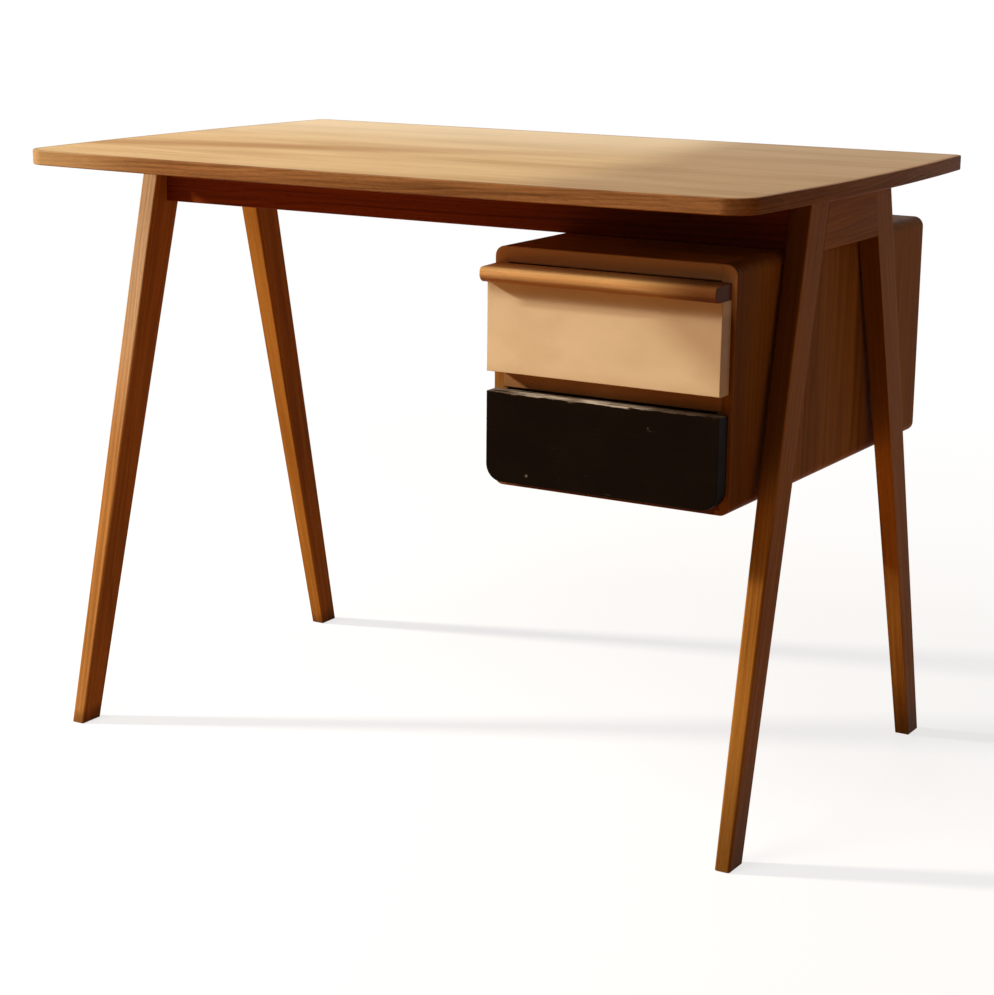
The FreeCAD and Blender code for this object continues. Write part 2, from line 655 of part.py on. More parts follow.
def make_box_side(label, x, inner, name):
    """A drawer side: tongue end in the front, runner groove outside, dovetail sockets behind."""
    height = f"({name}_box_height)"
    body = board_along_y(label, x, "box_start", name + "_box_low", "box_wall", height, "side_length")
    top = value(height)
    round_edges(body, "Chamfer", "box_wall_chamfer",
                lambda edge: lies_at(edge, z=top) and edge.Length > top)
    groove_x = "box_wall - bottom_groove" if inner else "0"
    cut_along_y(body, [(groove_x, "bottom_rise", "bottom_groove", "bottom_thickness + 2 * wood_fit")])
    runner_x = "0" if inner else "box_wall - groove_depth"
    cut_along_y(body, [(runner_x, f"{runner_low(name)} - {name}_box_low - runner_fit", "groove_depth",
                        "runner_height + 2 * runner_fit")], start="groove_start")
    sockets = new_sketch(body, "YZ_Plane")
    for index in range(TAILS + 1):
        outline = pin_outline("back_height_" + name, index, "wood_fit")
        add_polygon(sockets, [(f"side_length - box_wall + {y}", f"back_rise + {z}") for y, z in outline])
    add_pocket(body, sockets, reverse=True)


def make_box(name):
    """One drawer box behind its front."""
    make_box_side(name + "_drawer_left_side", "box_left", 1, name)
    make_box_side(name + "_drawer_right_side", "box_left + box_width - box_wall", 0, name)
    tall = "back_height_" + name
    back = new_body(name + "_drawer_back", "box_left + box_width / 2",
                    "box_start + side_length - box_wall", f"{name}_box_low + back_rise")
    board = new_sketch(back, "YZ_Plane")
    add_rectangle(board, "0", "0", "box_wall", tall)
    add_pad(back, board, "box_inside", side="Symmetric")
    pins = new_sketch(back, "YZ_Plane")
    for index in range(TAILS + 1):
        add_polygon(pins, pin_outline(tall, index, "0"))
    add_pad(back, pins, "box_width", side="Symmetric")
    board_along_y(name + "_drawer_bottom", "box_left + box_wall - bottom_groove + wood_fit",
                  "front_back_y - bottom_groove + wood_fit", f"{name}_box_low + bottom_rise + wood_fit",
                  "box_inside + 2 * bottom_groove - 2 * wood_fit", "bottom_thickness",
                  "box_length + bottom_groove - wood_fit")


# Screws: one is turned, and copies of it make each group.
def make_screw():
    """A countersunk wood screw standing on its head, tip up."""
    body = new_body("screw_blank", kept=False)
    half = new_sketch(body, "XZ_Plane")
    radius = "screw_diameter / 2"
    add_polygon(half, [("0", "0"), ("screw_head_diameter / 2", "0"), (radius, "screw_head_height"),
                       (radius, "screw_length - screw_tip"), ("0", "screw_length")])
    turn = body.newObject("PartDesign::Revolution", "screw_turn")
    turn.Profile = half
    turn.ReferenceAxis = (half, ["V_Axis"])
    turn.Angle = 360
    body.Tip = turn
    doc.recompute()
    return body


def make_group(label, blank, places):
    """Copies of one blank as a single node, each moved to its place."""
    copies = []
    for x, y, z in places:
        spot = FreeCAD.Placement(FreeCAD.Vector(value(x), value(y), value(z)), FreeCAD.Rotation())
        copies.append(blank.Shape.transformed(spot.toMatrix(), True))
    group = doc.addObject("Part::Feature", label)
    group.Label = label
    group.Shape = Part.makeCompound(copies)
    group.Placement = FreeCAD.Placement()
    NODES.append(group)


def make_stops():
    """Four small blocks behind the drawer sides, one node."""
    blocks = []
    for floor in ("lower_floor", "upper_floor"):
        for x in ("case_left + board", "case_right - board - stop_width"):
            block = doc.addObject("Part::Box", "stop_block")
            block.setExpression("Length", expr("stop_width"))
            block.setExpression("Width", expr("stop_length"))
            block.setExpression("Height", expr("stop_height"))
            block.setExpression("Placement.Base.x", expr(x))
            block.setExpression("Placement.Base.y", expr("front_back_y + box_length + stop_gap"))
            block.setExpression("Placement.Base.z", expr(f"{floor} + stop_rise"))
            blocks.append(block)
    group = doc.addObject("Part::Compound", "drawer_stops")
    group.Label = "drawer_stops"
    group.Links = blocks
    NODES.append(group)


def make_fasteners():
    screw = make_screw()
    make_group("tabletop_screws", screw, [(x, y, "top_screw_head") for x, y in top_screw_places()])
    make_group("casing_screws", screw, [(x, f"{rail} + rail_thickness / 2", "rail_low - board")
                                        for x in hanger_places() for rail in ("rail_front", "rear_rail_front")])


def make_desk():
    make_top()
    for side, side_name in ((-1, "left"), (1, "right")):
        make_leg(f"front_{side_name}_leg", side, -1)
        make_leg(f"rear_{side_name}_leg", side, 1)
        make_side_rail(f"{side_name}_side_rail", side)
        make_corner_block(f"front_{side_name}_corner_block", side, -1)
        make_corner_block(f"rear_{side_name}_corner_block", side, 1)
    make_cross_rail("front_rail", "rail_front", "rail_front")
    make_cross_rail("rear_rail", "rear_rail_front", "rear_tenon_front")
    make_casing()
    for name in ("lower", "upper"):
        make_runner(name + "_left_runner", 1, name)
        make_runner(name + "_right_runner", 0, name)
        panel = make_front(name)
        make_box(name)
    make_handle(panel)
    make_stops()
    make_fasteners()


def check_document():
    """Stop before anything is written if an object failed or a shape isn't sound."""
    doc.recompute()
    for item in doc.Objects:
        if "Invalid" in item.State or "Error" in item.State:
            raise RuntimeError(f"{item.Label} failed")
    for node in NODES:
        if node.Shape.isNull() or not node.Shape.isValid():
            raise RuntimeError(f"{node.Label} has no sound shape")


make_desk()
check_document()
os.makedirs("parts", exist_ok=True)
for node in NODES:
    node.Shape.exportStep(f"parts/{node.Label}.step")
    print(node.Label, len(node.Shape.Solids), round(node.Shape.Volume / 1000, 1))
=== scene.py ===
"""Looks of a small writing desk: a bowed top on two tapered A-frames, and a casing with drawers.

Fields and picked places are in millimetres, meshes and nodes in metres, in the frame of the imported
model: X runs left to right, Y front to back, Z up.
"""

import logging
import math
from collections.abc import Callable, Iterable
from dataclasses import dataclass
from enum import Enum
from functools import cached_property, reduce

import bmesh
import bpy
from mathutils import Matrix, Vector


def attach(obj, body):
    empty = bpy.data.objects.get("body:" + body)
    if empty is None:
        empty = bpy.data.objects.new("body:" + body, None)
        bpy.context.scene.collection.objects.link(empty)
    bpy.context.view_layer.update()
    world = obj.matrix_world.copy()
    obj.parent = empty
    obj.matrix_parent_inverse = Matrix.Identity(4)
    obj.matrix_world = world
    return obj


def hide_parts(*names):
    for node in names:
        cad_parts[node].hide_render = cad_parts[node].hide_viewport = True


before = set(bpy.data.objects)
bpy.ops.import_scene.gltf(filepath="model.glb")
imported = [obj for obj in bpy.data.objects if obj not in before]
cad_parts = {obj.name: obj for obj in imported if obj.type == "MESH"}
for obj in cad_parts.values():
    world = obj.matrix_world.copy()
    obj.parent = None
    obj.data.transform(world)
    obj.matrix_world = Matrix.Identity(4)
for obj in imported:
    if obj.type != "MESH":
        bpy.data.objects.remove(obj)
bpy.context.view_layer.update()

log = logging.getLogger("writing_desk")
MM = 0.001
Point = tuple[float, float, float]
Span = tuple[float, float]
Material = bpy.types.Material
Socket = bpy.types.NodeSocket
Value = float | tuple | Socket
Test = Callable[[Vector, Vector], bool]


class Body(Enum):
    """The bodies that move as one."""

    DESK = "desk"
    UPPER = "upper_drawer"
    LOWER = "lower_drawer"


class Kind(Enum):
    """What an edit-mode selection is made of."""

    VERT = "VERT"
    EDGE = "EDGE"
    FACE = "FACE"


class Grain(Enum):
    """The way the fibres of a board run."""

    ACROSS_DESK = (1.0, 0.0, 0.0)
    FRONT_TO_BACK = (0.0, 1.0, 0.0)
    UPRIGHT = (0.0, 0.0, 1.0)


class Step(Enum):
    """The nodes in use: type, settings, the inputs that are filled in order, and the output."""

    TIMES = ("Math", {"operation": "MULTIPLY"}, (0, 1), 0)
    TIMES_PLUS = ("Math", {"operation": "MULTIPLY_ADD"}, (0, 1, 2), 0)
    PLUS = ("Math", {"operation": "ADD"}, (0, 1), 0)
    LESS = ("Math", {"operation": "SUBTRACT"}, (0, 1), 0)
    LARGER = ("Math", {"operation": "MAXIMUM"}, (0, 1), 0)
    SMALLER = ("Math", {"operation": "MINIMUM"}, (0, 1), 0)
    UNSIGNED = ("Math", {"operation": "ABSOLUTE"}, (0,), 0)
    FRACTION = ("Math", {"operation": "FRACT"}, (0,), 0)
    ZIGZAG = ("Math", {"operation": "PINGPONG"}, (0, 1), 0)
    # smoothly from a low to a high value, on to a start and an end, or zero and one if left out
    FADE = ("MapRange", {"interpolation_type": "SMOOTHSTEP"}, (0, 1, 2, 3, 4), 0)
    NOISE = ("TexNoise", {}, ("Vector", "Scale", "Detail", "Roughness"), 0)
    NOISE_LINE = ("TexNoise", {"noise_dimensions": "1D"}, ("W", "Scale", "Detail", "Roughness"), 0)
    PLACE = ("TexCoord", {}, (), "Object")
    NORMAL = ("NewGeometry", {}, (), "Normal")
    AXES = ("SeparateXYZ", {}, (0,), 0)
    MAPPING = ("Mapping", {}, ("Vector", "Location", "Rotation", "Scale"), 0)
    TIMES_EACH = ("VectorMath", {"operation": "MULTIPLY"}, (0, 1), 0)
    LENGTH = ("VectorMath", {"operation": "LENGTH"}, (0,), "Value")
    DISTANCE = ("VectorMath", {"operation": "DISTANCE"}, (0, 1), "Value")
    RAMP = ("ValToRGB", {}, (0,), 0)
    GREY = ("CombineColor", {}, (0, 1, 2), 0)
    LAY = ("Mix", {"data_type": "RGBA", "blend_type": "MIX"}, (0, 6, 7), 2)
    TINT = ("Mix", {"data_type": "RGBA", "blend_type": "MULTIPLY"}, (0, 6, 7), 2)
    BUMP = ("Bump", {}, ("Height", "Strength", "Distance"), 0)
    GLOW = ("Emission", {}, ("Color", "Strength"), 0)
    RAYS = ("LightPath", {}, (), 0)
    MIX_SHADERS = ("MixShader", {}, (0, 1, 2), 0)


# ---- shared helpers ----


def metres(*lengths: float) -> tuple[float, ...]:
    """Turn millimetres into metres."""
    return tuple(length * MM for length in lengths)


def grey(value: float) -> tuple[float, float, float, float]:
    """A neutral linear colour."""
    return value, value, value, 1.0


def linear(code: str) -> tuple[float, ...]:
    """Turn an sRGB hex colour into linear values.

    Args:
        code: Six hex digits after a hash.

    Returns:
        Red, green, blue and an alpha of one.
    """
    parts = [int(code[i:i + 2], 16) / 255 for i in (1, 3, 5)]
    values = [c / 12.92 if c <= 0.04045 else ((c + 0.055) / 1.055) ** 2.4 for c in parts]
    return *values, 1.0


def set_ramp(colour: Socket, stops: Iterable[tuple[float, tuple]]) -> None:
    """Give a colour ramp its stops.

    Args:
        colour: The ramp's output.
        stops: Each stop's position and linear colour.
    """
    ramp = colour.node.color_ramp
    for i, (place, tone) in enumerate(stops):
        stop = ramp.elements[i] if i < 2 else ramp.elements.new(place)
        stop.position = place
        stop.color = tone


def activate(*objects: bpy.types.Object) -> None:
    """Select these objects and nothing else, with the first one active.

    Args:
        objects: The objects, or none before a primitive is added.
    """
    bpy.ops.object.select_all(action="DESELECT")
    for obj in objects:
        obj.select_set(True)
    if objects:
        bpy.context.view_layer.objects.active = objects[0]


class Graph:
    """The node tree of a material, or of the room's air, in the making."""

    def __init__(self, owner: Material | bpy.types.World, kind: str = "BSDF_PRINCIPLED") -> None:
        """Open the owner's node tree.

        Args:
            owner: The material or world.
            kind: The type of its shader.
        """
        owner.use_nodes = True
        self.owner = owner
        self.tree = owner.node_tree
        self.shader = next(node for node in self.tree.nodes if node.type == kind)

    @cached_property
    def place(self) -> Socket:
        """Object coordinates."""
        return self.add(Step.PLACE)

    @cached_property
    def axes(self) -> bpy.types.NodeOutputs:
        """X, Y and Z of the object coordinates."""
        return self.add(Step.AXES, self.place).node.outputs

    def join(self, node: bpy.types.Node, values: dict[int | str, Value]) -> None:
        """Set or link a node's inputs.

        Args:
            node: The node.
            values: A value or the output that feeds it, by the input's name or number.
        """
        for name, value in values.items():
            if isinstance(value, Socket):
                self.tree.links.new(value, node.inputs[name])
            else:
                node.inputs[name].default_value = value

    def add(self, step: Step, *values: Value) -> Socket:
        """Add a node with its settings and links.

        Args:
            step: What the node does.
            values: What its inputs get, in the step's order.

        Returns:
            The output that the step gives.
        """
        kind, settings, inputs, output = step.value
        node = self.tree.nodes.new("ShaderNode" + kind)
        for name, value in settings.items():
            setattr(node, name, value)
        self.join(node, dict(zip(inputs, values)))
        return node.outputs[output]

    def mottle(self, place: Socket, sizes: Point, detail: float = 2.0, rough: float = 0.5,
               shift: Point = (0.0, 0.0, 0.0)) -> Socket:
        """Lay an uneven pattern, from zero to one, whose lumps have a real size.

        Args:
            place: The coordinates.
            sizes: The size of a lump along each axis, in millimetres.
            detail: How many finer layers it has.
            rough: How strong they are.
            shift: A shift of the pattern, in lumps.

        Returns:
            The value of the pattern.
        """
        scale = tuple(1.0 / (size * MM) for size in sizes)
        scaled = self.add(Step.MAPPING, place, shift, (0.0, 0.0, 0.0), scale)
        return self.add(Step.NOISE, scaled, 1.0, detail, rough)

    def seen(self) -> Socket:
        """Tell what the camera, a mirror or a glass sees.

        Returns:
            One for a ray that runs straight from them, and zero for light on the desk.
        """
        rays = self.add(Step.RAYS).node.outputs
        bent = self.add(Step.LARGER, rays["Is Glossy Ray"], rays["Is Transmission Ray"])
        return self.add(Step.LARGER, rays["Is Camera Ray"], bent)


# ---- finishes ----

# Millimetres along and across a wood's fibres. Real fibres are a tenth as wide: these are drawn as
# wide as a render can show.
SWAY, SHADING, STREAK = (380, 45, 45), (300, 60, 60), (420, 7, 7)
FIBRE, PORE = (70, 1.1, 1.1), (9, 0.7, 0.7)
# how many rings the sway moves their lines by, and where its pattern opens a pore
BEND, OPEN_PORE = 3.5, (0.6, 0.72)
# the tone along one ring: it turns paler, then ends in a dark line of late wood
RING = ((0.0, grey(0.35)), (1.0, grey(0.35)), (0.55, grey(0.6)), (0.9, grey(0.12)))
# Millimetres along X, Y and Z: splashes on a foot, the drift of the painted shade and shadow band on
# the veneer, clouds in paint, its ragged worn edge, scuffs and patches of old primer, and marks on
# steel
SPLASH, DRIFT, CLOUD = (9, 9, 22), (260, 160, 160), (70, 70, 45)
RAGGED, SCUFF, PATCH, DULL = (38, 7, 5), (22, 10, 3), (60, 20, 8), (0.6, 0.6, 0.15)


@dataclass(frozen=True)
class Mark:
    """A tone laid over a wood, as far as its fades reach."""

    tone: str
    # axis, from and to in millimetres, and the share at either end
    fades: tuple[tuple[int, float, float, float, float], ...]
    meet: Step = Step.TIMES


@dataclass(frozen=True)
class Wood:
    """Sawn and planed timber, seen through oil, stain or lacquer."""

    name: str
    pale: str
    body: str
    dark: str
    along: Point = Grain.ACROSS_DESK.value
    # the heart of the tree from the board, across the fibres, and how steeply the rings are cut
    heart: Span = (60.0, 90.0)
    tilt: float = 2.0
    ring_mm: float = 7.0
    # share of the ring lines, streaks, fibres and pores in the tone
    rings: float = 0.45
    streaks: float = 0.4
    fibre: float = 0.2
    pores: float = 0.35
    roughness: float = 0.45
    specular: float = 0.08
    relief_mm: float = 0.12
    seed: float = 0.0
    marks: tuple[Mark, ...] = ()

    def build(self) -> Material:
        """Make the material.

        Returns:
            The finished material.
        """
        graph = Graph(bpy.data.materials.new(self.name))
        add = graph.add
        turn = Vector(self.along).rotation_difference(Vector(Grain.ACROSS_DESK.value)).to_euler()
        fibres = add(Step.MAPPING, graph.place, (0.0, 0.0, 0.0), tuple(turn))
        tone, fine, pits = self.figure(graph, fibres)
        ramp = add(Step.RAMP, tone)
        dark, pale, body = (linear(code) for code in (self.dark, self.pale, self.body))
        set_ramp(ramp, [(0.22, dark), (0.78, pale), (0.5, body)])
        dim = add(Step.FADE, fine, 0.25, 0.75, 1.0 - self.fibre, 1.0 + self.fibre / 3)
        colour = add(Step.TINT, 1.0, ramp, add(Step.GREY, dim, dim, dim))
        in_pores = tuple(c * 0.35 for c in dark[:3]) + (1.0,)
        colour = add(Step.LAY, add(Step.TIMES, pits, self.pores), colour, in_pores)
        relief = add(Step.LESS, add(Step.TIMES, fine, 0.5), pits)
        gloss = add(Step.FADE, fine, 0.2, 0.8, self.roughness + 0.07, self.roughness - 0.05)
        graph.join(graph.shader, {
            "Base Color": self.age(graph, colour), "Roughness": gloss,
            "Normal": add(Step.BUMP, relief, 0.6, self.relief_mm * MM),
            "Specular IOR Level": self.specular})
        return graph.owner

    def figure(self, graph: Graph, fibres: Socket) -> tuple[Socket, Socket, Socket]:
        """Lay growth rings, streaks, fibres and pores along the board.

        Args:
            graph: The material's nodes.
            fibres: Object coordinates turned so that X runs along the fibres.

        Returns:
            The tone of the figure, the fine fibres and the pores, each from zero to one.
        """
        add = graph.add
        seed = self.seed
        sway = graph.mottle(fibres, SWAY, 1.5, shift=(seed, seed, 0))
        lean = math.radians(self.tilt)
        heart = add(Step.MAPPING, fibres, (0.0, *metres(*self.heart)), (0.0, lean, lean / 2))
        radius = add(Step.LENGTH, add(Step.TIMES_EACH, heart, (0.0, 1.0, 1.0)))
        turns = add(Step.TIMES_PLUS, radius, 1.0 / (self.ring_mm * MM),
                    add(Step.TIMES, sway, BEND))
        growth = add(Step.NOISE_LINE, turns, 1.0, 3.0, 0.6)
        late = add(Step.RAMP, add(Step.FRACTION, turns))
        set_ramp(late, RING)
        rings = add(Step.TIMES_PLUS, growth, 0.6, add(Step.TIMES, late, 0.4))
        streak = graph.mottle(fibres, STREAK, 3.0, 0.6, (0, seed, seed))
        shading = graph.mottle(fibres, SHADING, 1.0, shift=(seed, 0, seed))
        tone = 0.5
        for part, middle, share in ((rings, 0.46, self.rings * 2.0),
                                    (streak, 0.5, self.streaks * 2.0), (shading, 0.5, 0.7)):
            tone = add(Step.TIMES_PLUS, add(Step.LESS, part, middle), share, tone)
        fine = graph.mottle(fibres, FIBRE, 3.0, 0.65, (seed, 0, 0))
        pits = add(Step.FADE, graph.mottle(fibres, PORE, 1.0, shift=(0, 0, seed)), *OPEN_PORE)
        return tone, fine, pits

    def age(self, graph: Graph, colour: Socket) -> Socket:
        """Lay the tones of the marks over the new wood.

        Args:
            graph: The material's nodes.
            colour: The new wood.

        Returns:
            The wood with its marks.
        """
        add = graph.add
        for mark in self.marks:
            shares = [add(Step.FADE, graph.axes[axis], *metres(low, high), start, end)
                      for axis, low, high, start, end in mark.fades]
            share = reduce(lambda first, second: add(mark.meet, first, second), shares)
            colour = add(Step.LAY, share, colour, linear(mark.tone))
        return colour


@dataclass(frozen=True)
class LegWood(Wood):
    """Oiled timber of a leg, scuffed near the floor, with painted shade on the upper front of the
    right legs and a painted sheen on that of the front left leg.
    """

    scuff_mm: float = 26.0
    shaded: float = 0.0
    # the tint laid on all but the upper front, whose paler tones are left there as a painted sheen,
    # and the heights over which that sheen sets in
    tint_off_sheen: str = "#FFFFFF"
    sheen_heights: Span = (280.0, 640.0)
    # the heights over which the painted shade on the upper front sets in, and the tone of the scuffs
    # and of that shade
    shade_heights: Span = (360.0, 470.0)
    grime_and_shade: str = "#3A1E0C"

    def age(self, graph: Graph, colour: Socket) -> Socket:
        """Darken the foot, as mops and shoes do, lay painted shade on the upper front, and keep the
        tint off it to leave a painted sheen.

        Args:
            graph: The material's nodes.
            colour: The new wood.

        Returns:
            The worn wood.
        """
        add = graph.add
        z = graph.axes[2]
        ragged = add(Step.LESS, graph.mottle(graph.place, SPLASH, 3.0), 0.5)
        edge = add(Step.TIMES_PLUS, ragged, -30 * MM, z)
        foot = add(Step.FADE, edge, 0.0, self.scuff_mm * MM, 0.55, 0.0)
        facing = add(Step.AXES, add(Step.NORMAL)).node.outputs[1]
        away = add(Step.FADE, facing, -0.9, -0.4)
        # the tint is kept off the upper front, so its paler tones show there as a painted sheen
        off_sheen = add(Step.LARGER, away, add(Step.FADE, z, *metres(*self.sheen_heights), 1.0, 0.0))
        colour = add(Step.TINT, off_sheen, colour, linear(self.tint_off_sheen))
        # painted shade on the upper front, above the given heights
        deep = add(Step.TIMES, add(Step.FADE, away, 0.0, 1.0, self.shaded, 0.0),
                   add(Step.FADE, z, *metres(*self.shade_heights)))
        return add(Step.LAY, add(Step.LARGER, foot, deep), colour, linear(self.grime_and_shade))


@dataclass(frozen=True)
class TopVeneer(Wood):
    """Thin lacquered veneer, with painted shade on its right end, a painted shadow stripe across the
    left, and a painted sheen toward the rear.
    """

    # tints of the painted shade on the right end, the painted shadow band, and the painted sheen on
    # the rear
    right_end_shade: str = "#DAD6DA"
    band: str = "#8F6430"
    painted_sheen: str = "#E6D8BC"
    # where the painted shade on the right end sets in, on X, and how far that line slants with Y
    fades: Span = (130.0, 260.0)
    fade_slant: float = 0.12
    # half of the painted shadow band's width, its ends on X, and its middle: Y + slant * X + shift =
    # 0
    band_width: Span = (8.0, 62.0)
    band_length: Span = (-300.0, 200.0)
    band_slant: float = -0.34
    band_shift: float = -3.0
    # where the painted sheen rises toward the rear edge, on Y
    rear: Span = (-100.0, 330.0)

    def age(self, graph: Graph, colour: Socket) -> Socket:
        """Paint shade on the right end, a sheen on the rear, and a soft shadow stripe across the
        left.

        Args:
            graph: The material's nodes.
            colour: The new wood.

        Returns:
            The veneer with its painted shade, shadow and sheen.
        """
        add = graph.add
        x, y, _ = graph.axes
        drift = add(Step.TIMES_PLUS, graph.mottle(graph.place, DRIFT, 2.0), 0.08, -0.04)
        # painted shade: the right end turns greyer beyond a slanted line
        across = add(Step.PLUS, add(Step.TIMES_PLUS, y, self.fade_slant, x), drift)
        right = add(Step.FADE, across, *metres(*self.fades))
        colour = add(Step.TINT, right, colour, linear(self.right_end_shade))
        # painted shadow: a soft darker band across the left
        line = add(Step.PLUS, add(Step.TIMES_PLUS, x, self.band_slant, y), self.band_shift * MM)
        near = add(Step.UNSIGNED, add(Step.TIMES_PLUS, drift, 0.3, line))
        share = add(Step.TIMES, add(Step.FADE, near, *metres(*self.band_width), 0.66, 0.0),
                    add(Step.FADE, x, *metres(*self.band_length), 1.0, 0.25))
        colour = add(Step.LAY, share, colour, linear(self.band))
        # painted sheen, paler toward the rear edge
        rear = add(Step.TIMES, add(Step.FADE, y, *metres(*self.rear), 0.0, 0.5),
                   add(Step.TIMES_PLUS, right, -0.8, 1.0))
        return add(Step.LAY, rear, colour, linear(self.painted_sheen))


@dataclass(frozen=True)
class Plywood(Wood):
    """Peeled veneers glued crosswise, which show as stripes on the sheet's edges."""

    rings: float = 0.3
    pores: float = 0.1
    roughness: float = 0.6
    layer_axis: int = 1
    layer_mm: float = 1.5

    def age(self, graph: Graph, colour: Socket) -> Socket:
        """Darken every other layer where the sheet's edge is seen.

        Args:
            graph: The material's nodes.
            colour: The face veneer.

        Returns:
            The sheet, with its layers.
        """
        add = graph.add
        deep = add(Step.TIMES, graph.axes[self.layer_axis], 1.0 / (self.layer_mm * MM))
        layers = add(Step.ZIGZAG, deep, 1.0)
        facing = add(Step.AXES, add(Step.NORMAL)).node.outputs[self.layer_axis]
        edge = add(Step.FADE, add(Step.UNSIGNED, facing), 0.4, 0.6, 0.5, 0.0)
        share = add(Step.TIMES, add(Step.FADE, layers, 0.4, 0.6), edge)
        return add(Step.LAY, share, colour, linear(self.dark))


@dataclass(frozen=True)
class Paint:
    """Satin enamel rolled or brushed on board."""

    name: str
    body: str
    shade: str
    roughness: float = 0.38
    specular: float = 0.45
    stipple_mm: float = 1.6
    relief_mm: float = 0.05
    # how deep the wear goes, in heights of the stipple, and how much rougher it is
    wear_depth: float = 0.0
    wear_rough: float = 0.0

    def build(self) -> Material:
        """Make the material.

        Returns:
            The finished material.
        """
        graph = Graph(bpy.data.materials.new(self.name))
        add = graph.add
        cloud = graph.mottle(graph.place, CLOUD, 4.0, 0.6)
        colour = add(Step.LAY, add(Step.FADE, cloud, 0.3, 0.75, 0.0, 0.8), linear(self.body),
                     linear(self.shade))
        stipple = graph.mottle(graph.place, (self.stipple_mm,) * 3, 2.0)
        gloss = add(Step.FADE, cloud, 0.3, 0.7, self.roughness - 0.04, self.roughness + 0.08)
        # the share of worn paint on the black front, and of painted shade on the cream, with its
        # tone
        marked, tone = self.marking(graph)
        height = add(Step.TIMES_PLUS, marked, -self.wear_depth, stipple)
        graph.join(graph.shader, {
            "Base Color": add(Step.LAY, marked, colour, tone),
            "Roughness": add(Step.TIMES_PLUS, marked, self.wear_rough, gloss),
            "Specular IOR Level": self.specular,
            "Normal": add(Step.BUMP, height, 0.5, self.relief_mm * MM)})
        return graph.owner

    def marking(self, graph: Graph) -> tuple[Socket, Value]:
        """Tell where the paint is marked, by rubbing through and by painted shade, and the tone that
        shows there.
        """
        raise NotImplementedError


@dataclass(frozen=True)
class HandledPaint(Paint):
    """Pale enamel, with painted shadow below the handle and at the upper right, and darker along its
    foot.
    """

    # the tone of the painted shadow, and of the darker foot
    grime_and_shade: str = "#A98A66"
    foot: Span = (530.0, 545.0)
    # where the painted shadow band under the handle sets in, on Z and on X, and where it eases off
    # again, on Z
    band: Span = (604.0, 611.0)
    band_left: Span = (180.0, 200.0)
    eased: Span = (612.0, 622.0)
    # the painted shade on the upper right corner, where X and the sloped Z add up to this
    corner: Span = (1050.0, 1125.0)
    corner_slope: float = 1.2

    def marking(self, graph: Graph) -> tuple[Socket, Value]:
        """Paint shadow below the handle and to the upper right, and darken the paint along its foot.

        Args:
            graph: The material's nodes.

        Returns:
            The share of painted shadow and of the darker foot, and the tone that shows there.
        """
        add = graph.add
        x, _, z = graph.axes
        low = add(Step.FADE, z, *metres(*self.foot), 0.2, 0.0)
        # painted shade toward the upper right corner
        slanted = add(Step.TIMES_PLUS, z, self.corner_slope, x)
        right = add(Step.FADE, slanted, *metres(*self.corner), 0.0, 0.72)
        # painted shadow in a band below the handle's own shadow
        under = add(Step.TIMES, add(Step.FADE, z, *metres(*self.band), 0.0, 0.55),
                    add(Step.FADE, x, *metres(*self.band_left)))
        high = add(Step.TIMES, add(Step.LARGER, right, under),
                   add(Step.FADE, z, *metres(*self.eased), 1.0, 0.35))
        return add(Step.LARGER, low, high), linear(self.grime_and_shade)


@dataclass(frozen=True)
class WornPaint(Paint):
    """Dark enamel that fingers have rubbed through along its upper edge."""

    primer: str = "#C8BCA8"
    old_primer: str = "#7D6E5B"
    board: str = "#5E4630"
    wear_depth: float = 2.0
    wear_rough: float = 0.25
    front: float = -252.5
    top: float = 507.3
    # millimetres by which the worn edge strays, and by which it is lower where hands reach most
    stray: float = 11.0
    lower: float = 1.4
    # the stretch of the edge that hands reach for most, from its left and to its right
    from_left: Span = (160.0, 215.0)
    to_right: Span = (325.0, 370.0)
    chips: tuple[Point, ...] = ((200.0, 415.0, 3.4), (353.0, 487.0, 2.4))

    def marking(self, graph: Graph) -> tuple[Socket, Value]:
        """Show primer on the upper face and arris, with a few chips and rubs on the front.

        Args:
            graph: The material's nodes.

        Returns:
            The worn share of the paint, and the tone that shows there.
        """
        add = graph.add
        x, _, z = graph.axes
        ragged = graph.mottle(graph.place, RAGGED, 5.0, 0.7)
        often = add(Step.SMALLER, add(Step.FADE, x, *metres(*self.from_left), 0.4, 1.0),
                    add(Step.FADE, x, *metres(*self.to_right), 1.0, 0.15))
        level = add(Step.TIMES_PLUS, add(Step.LESS, ragged, 0.52), self.stray * MM, z)
        level = add(Step.TIMES_PLUS, often, self.lower * MM, level)
        rubbed = add(Step.FADE, level, *metres(self.top - 0.6, self.top + 0.6), 0.0, 0.95)
        rubbed = add(Step.TIMES, rubbed, add(Step.TIMES_PLUS, often, 0.5, 0.3))
        for at_x, at_z, size in self.chips:
            offset = add(Step.DISTANCE, graph.place, metres(at_x, self.front, at_z))
            far = add(Step.TIMES_PLUS, ragged, 2.0 * size * MM, offset)
            chip = add(Step.FADE, far, *metres(1.2 * size, 1.6 * size), 0.3, 0.0)
            rubbed = add(Step.LARGER, rubbed, chip)
        scuffs = graph.mottle(graph.place, SCUFF, 4.0, 0.7)
        rubbed = add(Step.LARGER, rubbed, add(Step.FADE, scuffs, 0.66, 0.76, 0.0, 0.14))
        patches = add(Step.FADE, graph.mottle(graph.place, PATCH, 3.0, 0.6), 0.38, 0.6)
        bare = add(Step.LAY, patches, linear(self.primer), linear(self.old_primer))
        return rubbed, add(Step.LAY, often, linear(self.board), bare)


